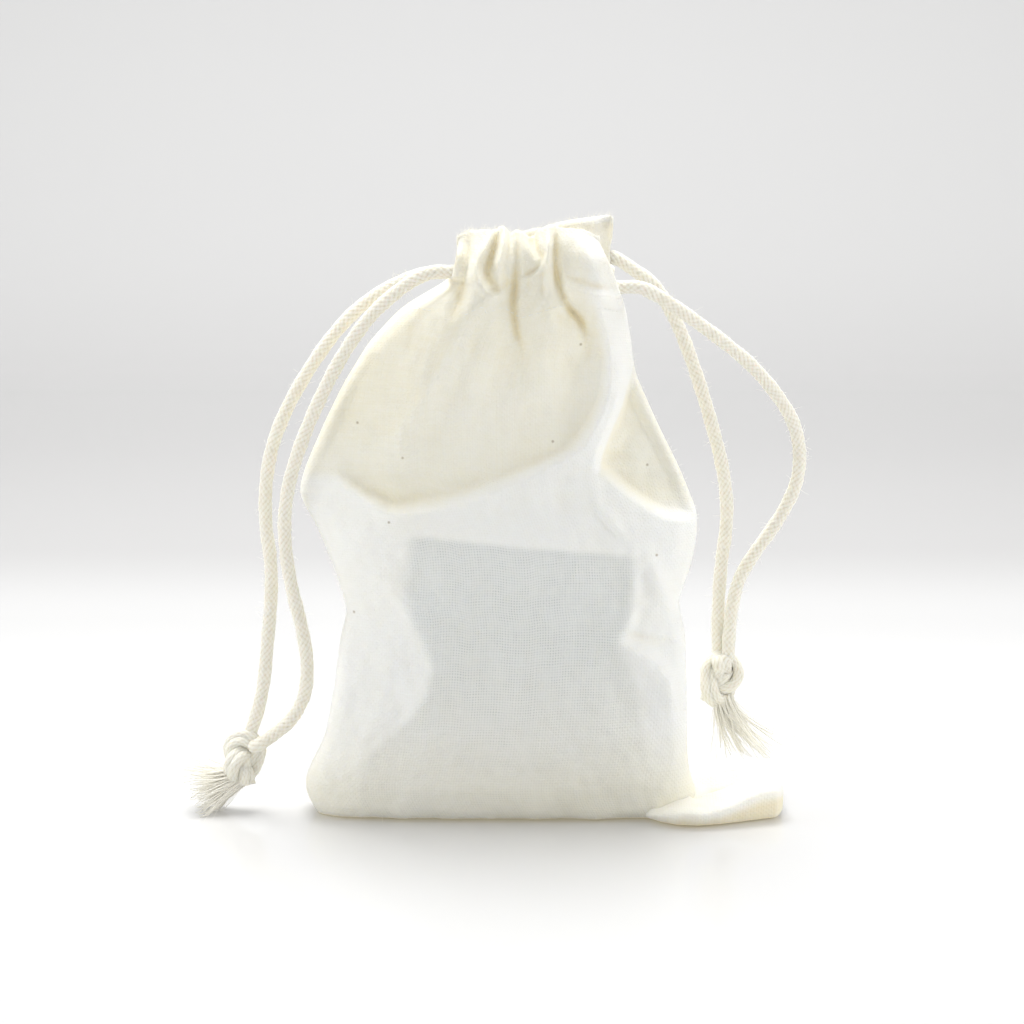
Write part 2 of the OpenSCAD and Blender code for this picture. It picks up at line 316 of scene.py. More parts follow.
def cord_material(name, pale=(0.9, 0.88, 0.79, 1), warm=(0.74, 0.69, 0.55, 1)):
    """Braided cotton: pale yarns, painted darker and warmer as shade between the strands, with fine yarn
    twist.
    """
    n = Nodes(name)
    here = n.place()
    height = n.split(n.attribute("flat"))[2]
    fine = n.noise(here, 5.0, 3.0, 0.6)
    # painted shade: darker and warmer low between the strands
    tone = n.mix(n.ramp(height, 0.15, 0.85), warm, pale)
    tone = n.mix(n.ramp(fine, 0.3, 0.75, 0.0, 0.35), tone, (0.97, 0.95, 0.89, 1))
    tone = n.mix(n.ramp(n.noise(here, 0.25, 2.0), 0.55, 0.8, 0.0, 0.3), tone, warm)
    return n.surface({
        "Base Color": tone, "Roughness": 0.9, "Sheen Weight": 0.35, "Sheen Roughness": 0.4,
        "Specular IOR Level": 0.2, "Subsurface Weight": 0.2, "Subsurface Radius": (1.0, 0.8, 0.5),
        "Subsurface Scale": 0.001, "Normal": n.bump(fine, 0.00005, 0.7)})


def yarn_material(name, tone_a, tone_b):
    """Loose cotton yarn and sewing thread: matte, with a slight change of tone from yarn to yarn."""
    n = Nodes(name)
    here = n.place()
    fine = n.noise(here, 3.0, 3.0, 0.6)
    return n.surface({
        "Base Color": n.mix(n.ramp(fine, 0.3, 0.7), tone_a, tone_b), "Roughness": 0.9, "Sheen Weight": 0.4,
        "Specular IOR Level": 0.2, "Normal": n.bump(n.noise(here, 12.0, 2.0), 0.00003, 0.6)})


CORD = cord_material("braided_cotton_cord")
YARN = yarn_material("frayed_cotton_yarn", (1.0, 0.985, 0.925, 1), (0.98, 0.945, 0.83, 1))
THREAD_WHITE = yarn_material("sewing_thread", (0.95, 0.94, 0.88, 1), (0.9, 0.88, 0.8, 1))


# ---------------------------------------------------------------- cords

CORD_D = 2.3
INNER_CORD_D = 2.1      # squeezed a little by the casing
INSIDE = 6.6            # how far a hanging cord reaches into its casing, from its hinge
FIBRE_R = 0.022         # a loose fibre of the cord
CASING_LEFT, CASING_RIGHT = -13.9, 11.5
CORD_Y = 6.35           # the channel of each casing, in front of and behind the middle
LEFT_FRONT_Z, LEFT_BACK_Z, RIGHT_FRONT_Z, RIGHT_BACK_Z = 91.2, 89.5, 88.7, 92.0
HINGE_OUT = 3.9         # from the end of the casing to the line that the hanging part swings about
HINGE_LEFT, HINGE_RIGHT = CASING_LEFT - HINGE_OUT, CASING_RIGHT + HINGE_OUT

# Routes from the casings down to the knots: the CAD source's own, but that the right back cord
# sags a little more where it leaves the mouth
LEFT_FRONT_ROUTE = [
    (HINGE_LEFT, -CORD_Y, LEFT_FRONT_Z), (-20.4, -6.2, 90.2), (-23.8, -5.8, 87.8), (-28.2, -5.3, 83.6),
    (-32.4, -4.9, 77.6), (-36.2, -4.5, 70.4), (-39.2, -4, 63.4), (-41.4, -3.5, 56.4), (-42.3, -3, 50.4),
    (-42.2, -2.5, 44.4), (-41.2, -2, 37.8), (-39.7, -1.6, 31), (-39, -1.3, 25), (-39.6, -1.1, 19.8),
    (-41.8, -1, 15.8), (-45, -1, 13), (-47.8, -1, 11.2)]
LEFT_BACK_ROUTE = [
    (HINGE_LEFT, CORD_Y, LEFT_BACK_Z), (-20.8, 6, 89), (-24.8, 5.4, 87.4), (-29.8, 4.8, 84.2), (-34, 4.1, 80),
    (-38.2, 3.4, 74.2), (-41.8, 2.8, 68), (-44.4, 2.2, 61.6), (-45.6, 1.8, 55), (-45.7, 1.6, 48.4),
    (-45, 1.4, 42), (-45, 1.3, 36), (-45.6, 1.2, 29.4), (-46.5, 1.2, 21), (-47.8, 1.2, 15.6),
    (-49, 1.2, 12.4)]
RIGHT_FRONT_ROUTE = [
    (HINGE_RIGHT, -CORD_Y, RIGHT_FRONT_Z), (17.8, -5.8, 87.6), (20.6, -5, 85.8), (24.4, -3.6, 83),
    (29, -1.6, 79.4), (34, 0.5, 75), (38.2, 2.5, 70), (41.2, 4.5, 65), (42.5, 6, 59.8), (42.2, 7, 54.6),
    (40.6, 8, 50.2), (38.6, 8.6, 46.6), (35.6, 9.3, 42), (33.2, 9.9, 37.6), (32, 10.3, 32.8),
    (31.5, 10.6, 27.6), (31.2, 10.6, 23.4)]
RIGHT_BACK_ROUTE = [
    (HINGE_RIGHT, CORD_Y, 89.6), (17.6, 6.5, 88), (19.3, 6.8, 86), (21.3, 7.2, 82.6), (23.6, 7.8, 77.4),
    (26, 8.6, 70.6), (28.2, 9.4, 63.4), (29.9, 10.2, 56.8), (30.8, 10.8, 50.8), (30.8, 11.4, 45.6),
    (30.2, 11.9, 40.4), (29.8, 12.2, 34.4), (29.7, 12.4, 28.8), (29.8, 12.4, 23.4)]


def tube_frames(line):
    """Tangent and two even, untwisted side directions at each point of a line."""
    tangent = unit(np.gradient(line, axis=0))
    side = np.zeros_like(line)
    first = np.cross(tangent[0], [0.0, 1.0, 0.0])
    if np.linalg.norm(first) < 0.1:
        first = np.cross(tangent[0], UP)
    side[0] = unit(first)
    for i in range(1, len(line)):
        carried = side[i - 1] - tangent[i] * (side[i - 1] @ tangent[i])
        side[i] = unit(carried)
    return tangent, side, np.cross(tangent, side)


def braid_height(angle, along, strands, pitch):
    """Height 0 to 1 of a round braid: two sets of strands that pass over and under each other."""
    a = strands * angle / (2 * math.pi) + along / pitch
    b = strands * angle / (2 * math.pi) - along / pitch
    a_in, b_in = a - np.floor(a), b - np.floor(b)
    a_over = (np.floor(a) + np.floor(b)) % 2 == 0
    across = np.where(a_over, a_in, b_in)
    length = np.where(a_over, b_in, a_in)
    return np.sqrt(np.clip(np.sin(np.pi * across), 0, 1)) * (0.55 + 0.45 * np.sin(np.pi * length))


def braided_tube(line, diameter, sides=40, strands=8, pitch=1.05, relief=0.2):
    """Points, faces and braid coordinates of a braided cord with closed ends."""
    _, side, other = tube_frames(line)
    along = run(line)[:, None]
    angle = np.arange(sides)[None, :] * 2 * math.pi / sides
    high = braid_height(angle, along, strands, pitch)
    swell = 1 + 0.03 * np.sin(along * 0.9) + 0.02 * np.sin(along * 2.3 + 1)
    radius = diameter / 2 * swell - relief * (1 - high)
    points = (line[:, None, :] + radius[..., None] * (np.cos(angle)[..., None] * side[:, None, :]
                                                      + np.sin(angle)[..., None] * other[:, None, :]))
    flat = np.stack([angle * diameter / 2 + 0 * along, along + 0 * angle, high], axis=-1)
    faces = grid_faces(len(line), sides, wrap=True)
    last = (len(line) - 1) * sides
    caps = [list(range(sides))[::-1], list(range(last, last + sides))]
    return points.reshape(-1, 3), [*faces.tolist(), *caps], flat.reshape(-1, 3)


def thin_tubes(lines, radii, sides=4):
    """Points and faces of many thin yarns or fibres in one mesh; each line tapers to its end."""
    points, faces, start = [], [], 0
    angle = np.arange(sides) * 2 * math.pi / sides
    for line, radius in zip(lines, radii):
        _, side, other = tube_frames(line)
        taper = radius * (1 - 0.65 * np.linspace(0, 1, len(line)) ** 3)
        ring = (np.cos(angle)[None, :, None] * side[:, None, :]
                + np.sin(angle)[None, :, None] * other[:, None, :])
        points.append((line[:, None, :] + taper[:, None, None] * ring).reshape(-1, 3))
        faces.extend((grid_faces(len(line), sides, wrap=True) + start).tolist())
        last = start + (len(line) - 1) * sides
        faces.append([start + k for k in range(sides)][::-1])
        faces.append([last + k for k in range(sides)])
        start += len(line) * sides
    return np.vstack(points), faces


def fibres_on(line, diameter, per_mm, length, seed):
    """Short loose fibres that stand off the surface of a cord."""
    rng = np.random.default_rng(seed)
    tangent, side, other = tube_frames(line)
    span = np.linalg.norm(np.diff(line, axis=0), axis=1).sum()
    lines = []
    for _ in range(int(span * per_mm)):
        i = int(rng.integers(0, len(line)))
        a = rng.uniform(0, 2 * math.pi)
        out = math.cos(a) * side[i] + math.sin(a) * other[i]
        heading = unit(out * rng.uniform(0.4, 1.0) + tangent[i] * rng.normal(0, 0.9)
                       + np.cross(tangent[i], out) * rng.normal(0, 0.7))
        bend = unit(rng.normal(size=3)) * rng.uniform(0.2, 0.9)
        reach = length * rng.uniform(0.35, 1.0)
        t = np.linspace(0, 1, 6)[:, None]
        start = line[i] + out * (diameter / 2 - 0.1)
        strand = start + heading * reach * t + bend * reach * t ** 2 * 0.5
        strand[:, 2] = np.maximum(strand[:, 2], FLOOR_Z + 0.05)
        lines.append(strand)
    return lines


def exit_stretch(route, inside, exit_z):
    """A route with its straight stretch inside the casing added in front."""
    x, y, _ = route[0]
    inward = -math.copysign(1.0, x)
    return [(x + inward * inside, y, exit_z), (x + inward * HINGE_OUT, y, exit_z), *route]


def bend_at_exit(piece):
    """Bake a piece of a drawstring's place into its mesh."""
    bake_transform(piece)


def make_strand(name, route, exit_z, node, diameter=CORD_D):
    """One hanging strand of a drawstring, from inside its casing down to its knot."""
    line = smooth_line(exit_stretch(route, INSIDE, exit_z), 0.18)
    points, faces, flat = braided_tube(line, diameter)
    piece = make_piece(name, points, faces, CORD, {"flat": flat})
    bend_at_exit(piece)
    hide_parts(node)
    return piece, line


def make_fuzz(name, line, per_mm, seed):
    """The halo of loose fibres on a strand."""
    outside = line[60:]     # clear of the casing
    lines = fibres_on(outside, CORD_D, per_mm, 1.5, seed)
    points, faces = thin_tubes(lines, [FIBRE_R] * len(lines), sides=3)
    piece = make_piece(name, points, faces, YARN)
    bend_at_exit(piece)
    return piece


# ---- the overhand knot, pulled tight by a small rope simulation

def tight_overhand(link=0.25, rounds=420):
    """Centre line of an overhand knot in a cord 1 thick, pulled tight along Z by its two ends."""
    t = np.linspace(-2.3, 2.3, 300)
    loose = np.column_stack([(t ** 4 - 4 * t ** 2) * 0.44, (t ** 5 - 10 * t) * 0.1, (t ** 3 - 3 * t) * 0.8])
    rope = smooth_line(loose[::6], link)
    n = len(rope)
    # points this near along the rope don't push each other apart
    near_self = np.abs(np.arange(n)[:, None] - np.arange(n)[None, :]) * link < 1.5
    low, high = rope[0].copy(), rope[-1].copy()
    for _ in range(rounds):
        # pull the two ends apart until the rope is taut, and onto one line
        if np.linalg.norm(np.diff(rope, axis=0), axis=1).sum() < 1.015 * (n - 1) * link:
            low[2] -= 0.05
            high[2] += 0.05
        low[:2] *= 0.96
        high[:2] *= 0.96
        for _ in range(9):
            # no closer to itself than its own thickness, no bend too sharp, every link at its length
            gap = rope[:, None, :] - rope[None, :, :]
            apart = np.linalg.norm(gap, axis=-1) + 1e-9
            press = np.where(near_self, 0.0, np.clip(1.0 - apart, 0, None)) / apart
            rope += 0.3 * (gap * press[..., None]).sum(axis=1)
            for hop, least in ((3, 0.7), (4, 0.86)):
                step = rope[hop:] - rope[:-hop]
                long = np.linalg.norm(step, axis=1, keepdims=True)
                fix = 0.25 * step / long * np.clip(least - long, 0, None)
                rope[hop:] += fix
                rope[:-hop] -= fix
            for first in (0, 1):
                a, b = rope[first:-1:2], rope[first + 1::2]
                m = min(len(a), len(b))
                step = b[:m] - a[:m]
                fix = 0.5 * step * (1 - link / np.linalg.norm(step, axis=1, keepdims=True))
                a[:m] += fix
                b[:m] -= fix
            rope[0], rope[-1] = low, high
    tied = rope[12:-12]
    return rope - np.array([tied[:, 0].mean(), tied[:, 1].mean(), np.median(tied[:, 2])])


OVERHAND = tight_overhand()


def knot_lines(at, toward, spin, scale, above=1.75, below=1.4):
    """Two cords side by side along a tied knot, from its upper side down, in place."""
    rope = OVERHAND[::-1] * scale if OVERHAND[0, 2] < OVERHAND[-1, 2] else OVERHAND * scale
    rope = smooth_line(rope[(rope[:, 2] < above * scale) & (rope[:, 2] > -below * scale)][::2], 0.2)
    _, side, other = tube_frames(rope)
    turn = 1.2 * math.pi * np.linspace(0, 1, len(rope))[:, None]
    offset = 0.24 * scale * (np.cos(turn) * side + np.sin(turn) * other)
    return [turned(line, toward, spin) + np.asarray(at, float) for line in (rope + offset, rope - offset)]


def turned(points, toward, spin):
    """Points drawn along -Z, turned so that -Z points in a direction and spun about it."""
    down = -unit(np.asarray(toward, float))
    helper = np.array([0.0, 1.0, 0.0])
    x_axis = unit(np.cross(helper, down))
    y_axis = np.cross(down, x_axis)
    c, s = math.cos(spin), math.sin(spin)
    x, y, z = points.T
    spun = np.column_stack([x * c - y * s, x * s + y * c, z])
    return spun @ np.vstack([x_axis, y_axis, down])


def make_knot(name, lines, thick, body, node, seed):
    """The tied knot: two worn, flattened cords pulled tight, with loose fibres."""
    fifth = len(lines[0]) // 5
    middle = (lines[0] + lines[1])[fifth:-fifth].mean(axis=0) / 2
    along = unit(lines[0][-1] - lines[0][0])
    core = smooth_line([middle - 2.4 * along, middle, middle + 2.4 * along], 0.2)
    parts = []
    for line, wide in ((lines[0], thick), (lines[1], thick), (core, 1.5 * thick)):
        parts.append(braided_tube(line, wide, strands=9, relief=0.17, pitch=1.3))
        fibres = fibres_on(line, wide, 6, 1.0, seed)
        loose, loose_faces = thin_tubes(fibres, [FIBRE_R] * len(fibres), sides=3)
        parts.append((loose, loose_faces, np.tile([0, 0, 1.0], (len(loose), 1))))
    points, faces, flat = joined(parts)
    points[:, 2] = np.maximum(points[:, 2], FLOOR_Z + 0.1)
    piece = make_piece(name, points, faces, CORD, {"flat": flat})
    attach(piece, body)
    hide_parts(node)
    return piece


def make_tassel(name, at, toward, length, spread, droop, yarns, fibres, body, node, seed):
    """The frayed end: many short yarns that fan out from the knot, and finer fibres among them."""
    rng = np.random.default_rng(seed)
    axis = unit(np.asarray(toward, float))
    side = unit(np.cross(axis, [0.0, 1.0, 0.0]))
    other = np.cross(axis, side)
    lines, radii = [], []
    for k in range(yarns + fibres):
        thin = k >= yarns
        ring, turn = math.sqrt(rng.uniform(0, 1)), rng.uniform(0, 2 * math.pi)
        root = (side * math.cos(turn) + other * math.sin(turn)) * ring
        reach = length * rng.uniform(0.6, 1.0) * (1.06 if thin else 1.0)
        fan = spread * ring * rng.uniform(0.5, 1.2) * (1.35 if thin else 1.0)
        curl = (side * rng.normal() + other * rng.normal()) * (0.2 if thin else 0.11) * length
        t = np.linspace(0, 1, 14)[:, None]
        out = unit(root) if ring > 1e-6 else side
        line = (np.asarray(at, float) - axis * 0.8 + root * 1.7 + axis * reach * t + out * fan * t ** 1.3
                + curl * t ** 2 + np.array(droop) * t ** 2
                + axis * rng.uniform(-0.5, 0.8)
                + unit(np.cross(axis, out)) * np.sin(t * rng.uniform(3, 8) + turn) * 0.25 * t)
        line[:, 2] = np.maximum(line[:, 2], FLOOR_Z + 0.12 + 0.5 * rng.uniform(0, 1) * (ring < 2))
        lines.append(line)
        radii.append(rng.uniform(0.018, 0.03) if thin else rng.uniform(0.09, 0.17))
    points, faces = thin_tubes(lines, radii, sides=5)
    piece = make_piece(name, points, faces, YARN)
    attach(piece, body)
    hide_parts(node)
    return piece


def make_drawstring(word, routes, zs, knot, tassel, seed):
    """Both strands of one drawstring with their knot and frayed end."""
    tail, slider = f"{word}_tail", f"{word}_drawstring"
    lines = knot_lines(*knot)
    knot_piece = make_knot(f"{word}_knot_tied", lines, 0.82 * knot[3], tail, f"{word}_knot", seed)
    tassel_piece = make_tassel(f"{word}_frayed_end", *tassel, tail, f"{word}_tassel", seed + 1)
    ends = [np.array(route[-1]) for route in routes]
    straight = sum(np.linalg.norm(e - l[0]) for e, l in zip(ends, lines))
    crossed = sum(np.linalg.norm(e - l[0]) for e, l in zip(ends, lines[::-1]))
    if crossed < straight:
        lines = lines[::-1]
    for half, route, line, z in zip(("front", "back"), routes, lines, zs):
        route = list(route) + [tuple(line[0]), tuple(line[7])]
        strand, path = make_strand(f"{word}_{half}_cord", route, z,
                                   f"{word}_{half}_strand")
        fuzz = make_fuzz(f"{word}_{half}_cord_fuzz", path, 3.0, seed + 2 + len(half))


LEFT_KNOT = ((-49.9, 0.2, 8.2), (-3.0, -0.6, -7.4), 0.5, 2.35)
LEFT_TASSEL = ((-50.6, 0.1, 5.6), (-8.8, -0.4, -2.9), 9.0, 2.9, (-0.2, 0, -0.3), 140, 260)
RIGHT_KNOT = ((29.9, 11.5, 18.9), (0.6, 0, -10), 3.7, 2.4)
RIGHT_TASSEL = ((30.7, 11.4, 16.2), (1.6, -0.4, -8), 11.4, 3.3, (3.8, 0, 0.2), 64, 170)

make_drawstring("left", (LEFT_FRONT_ROUTE, LEFT_BACK_ROUTE), (LEFT_FRONT_Z, LEFT_BACK_Z),
                LEFT_KNOT, LEFT_TASSEL, 20)
make_drawstring("right", (RIGHT_FRONT_ROUTE, RIGHT_BACK_ROUTE), (RIGHT_FRONT_Z, RIGHT_BACK_Z),
                RIGHT_KNOT, RIGHT_TASSEL, 40)


def make_hidden_cords(word, out, front_z, back_z):
    """The part of one drawstring inside the casings, and its turn from one casing to the other."""
    near = CASING_LEFT + 0.6 if out < 0 else CASING_RIGHT - 0.6
    far = 8.0 if out < 0 else -10.0
    lanes = [smooth_line([(near, y, z), ((near + far) / 2, y, z), (far, y, z)], 0.3)
             for y, z in ((-CORD_Y, front_z), (CORD_Y, back_z))]
    points, faces, flat = joined([braided_tube(lane, INNER_CORD_D, sides=24) for lane in lanes])
    inner = make_piece(f"{word}_cord_in_casing", points, faces, CORD, {"flat": flat})
    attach(inner, f"{word}_drawstring")
    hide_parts(f"{word}_cord_inner")
    middle, end = (front_z + back_z) / 2, far - out * 2.5
    turn = smooth_line([(far, -CORD_Y, front_z), (far - out * 1.6, -5.9, front_z), (end, -4.0, front_z),
                        (end + out * 0.3, 0, middle), (end, 4.0, back_z), (far - out * 1.6, 5.9, back_z),
                        (far, CORD_Y, back_z)], 0.25)
    points, faces, flat = braided_tube(turn, INNER_CORD_D)
    bight = make_piece(f"{word}_cord_turn", points, faces, CORD, {"flat": flat})
    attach(bight, "bag")
    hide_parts(f"{word}_cord_bight")


make_hidden_cords("left", -1, LEFT_FRONT_Z, LEFT_BACK_Z)
make_hidden_cords("right", 1, RIGHT_FRONT_Z, RIGHT_BACK_Z)


# ---------------------------------------------------------------- the cloth bag

BELLY = 11              # the most that each side stands out from the middle
NECK_Z = 84.7
# Listed by height: where the bag's two edges lie in x, how much of its full depth it fills, and how
# square its cross-section is
LEFT_EDGE = [
    (0, -37.2), (2, -38.8), (5, -39.8), (7.2, -38.9), (12.5, -36.2), (21, -34.6), (29.3, -33.5),
    (34.3, -32.2), (41, -34.3), (47.7, -36.9), (53.6, -40.2), (57.7, -39.2), (65.3, -35.9), (72, -32.6),
    (78.7, -28.5), (84.6, -23), (87.4, -18.3), (89, -15), (92, -14.4), (96.5, -13.6), (99, -13.3)]
RIGHT_EDGE = [
    (0, 27), (2, 26.2), (5, 24.8), (9, 24.1), (21, 23.9), (30, 23.6), (36, 22.2), (41, 24.2), (46, 25.3),
    (50.5, 25.4), (57.7, 22.5), (66, 18.4), (73.7, 15), (79, 14.3), (84.6, 13.3), (89.7, 11.7), (93.2, 10.3),
    (97, 8.2), (99, 7.6)]
FULLNESS = [
    (0, 0.74), (6, 0.88), (14, 0.97), (22, 1), (44, 1), (56, 0.96), (70, 0.87), (79, 0.86), (86, 0.91),
    (93, 0.9), (96, 0.8), (98, 0.7), (101, 0.62)]
SQUARENESS = [(0, 3.4), (25, 3), (45, 2.4), (55, 1.8), (66, 1.9), (NECK_Z, 2.2), (99, 2.6)]


def eased(points, step=0.5, reach=1.1):
    """A given outline with its corners rounded over a short reach."""
    low, high = points[0][0], points[-1][0]
    z = np.arange(low - 8, high + 8, step)
    value = table(z, points)
    weight = np.exp(-0.5 * (np.arange(-8, 9) * step / reach) ** 2)
    value = np.convolve(value, weight / weight.sum(), mode="same")
    keep = (z >= low - 1) & (z <= high + 1)
    return list(zip(z[keep], value[keep]))


LEFT_SOFT, RIGHT_SOFT = eased(LEFT_EDGE), eased(RIGHT_EDGE)


def fold(x, z, points, left, right, edge=0.5):
    """Height of one fold in the cloth. Points are (x, z, strength) along its line. Left and right are
    (height, reach) on each side, seen along its direction. Edge is how wide the change between them is."""
    hand = np.array(points, float)
    line = smooth_line(hand[:, :2], 0.8)
    hand_at, at = run(hand[:, :2]), run(line)
    strength = np.interp(at / at[-1], hand_at / hand_at[-1], hand[:, 2])
    reach = 3.2 * max(left[1], right[1])
    low, high = line.min(0) - reach, line.max(0) + reach
    near = (x > low[0]) & (x < high[0]) & (z > low[1]) & (z < high[1])
    px, pz = x[near], z[near]
    best = np.full(px.shape, 1e9)
    aside = np.zeros(px.shape)
    power = np.zeros(px.shape)
    for i in range(len(line) - 1):
        (ax, az), (bx, bz) = line[i], line[i + 1]
        dx, dz = bx - ax, bz - az
        t = np.clip(((px - ax) * dx + (pz - az) * dz) / (dx * dx + dz * dz), 0, 1)
        gx, gz = px - ax - t * dx, pz - az - t * dz
        d2 = gx * gx + gz * gz
        closer = d2 < best
        best = np.where(closer, d2, best)
        aside = np.where(closer, (dx * (pz - az) - dz * (px - ax)) / math.hypot(dx, dz), aside)
        power = np.where(closer, strength[i] + t * (strength[i + 1] - strength[i]), power)
    far = np.sqrt(best)
    past_end = np.sqrt(np.clip(best - aside ** 2, 0, None))
    on_left = left[0] * np.exp(-(far / left[1]) ** 2)
    on_right = right[0] * np.exp(-(far / right[1]) ** 2)
    blend = smooth(aside / (edge + 2 * past_end) * 0.5 + 0.5)
    out = np.zeros_like(x)
    out[near] = power * (on_left * blend + on_right * (1 - blend))
    return out


def swell(x, z, at_x, at_z, wide, tall, height):
    """A broad soft bulge, or a hollow where height is negative."""
    return height * np.exp(-((x - at_x) / wide) ** 2 - ((z - at_z) / tall) ** 2)


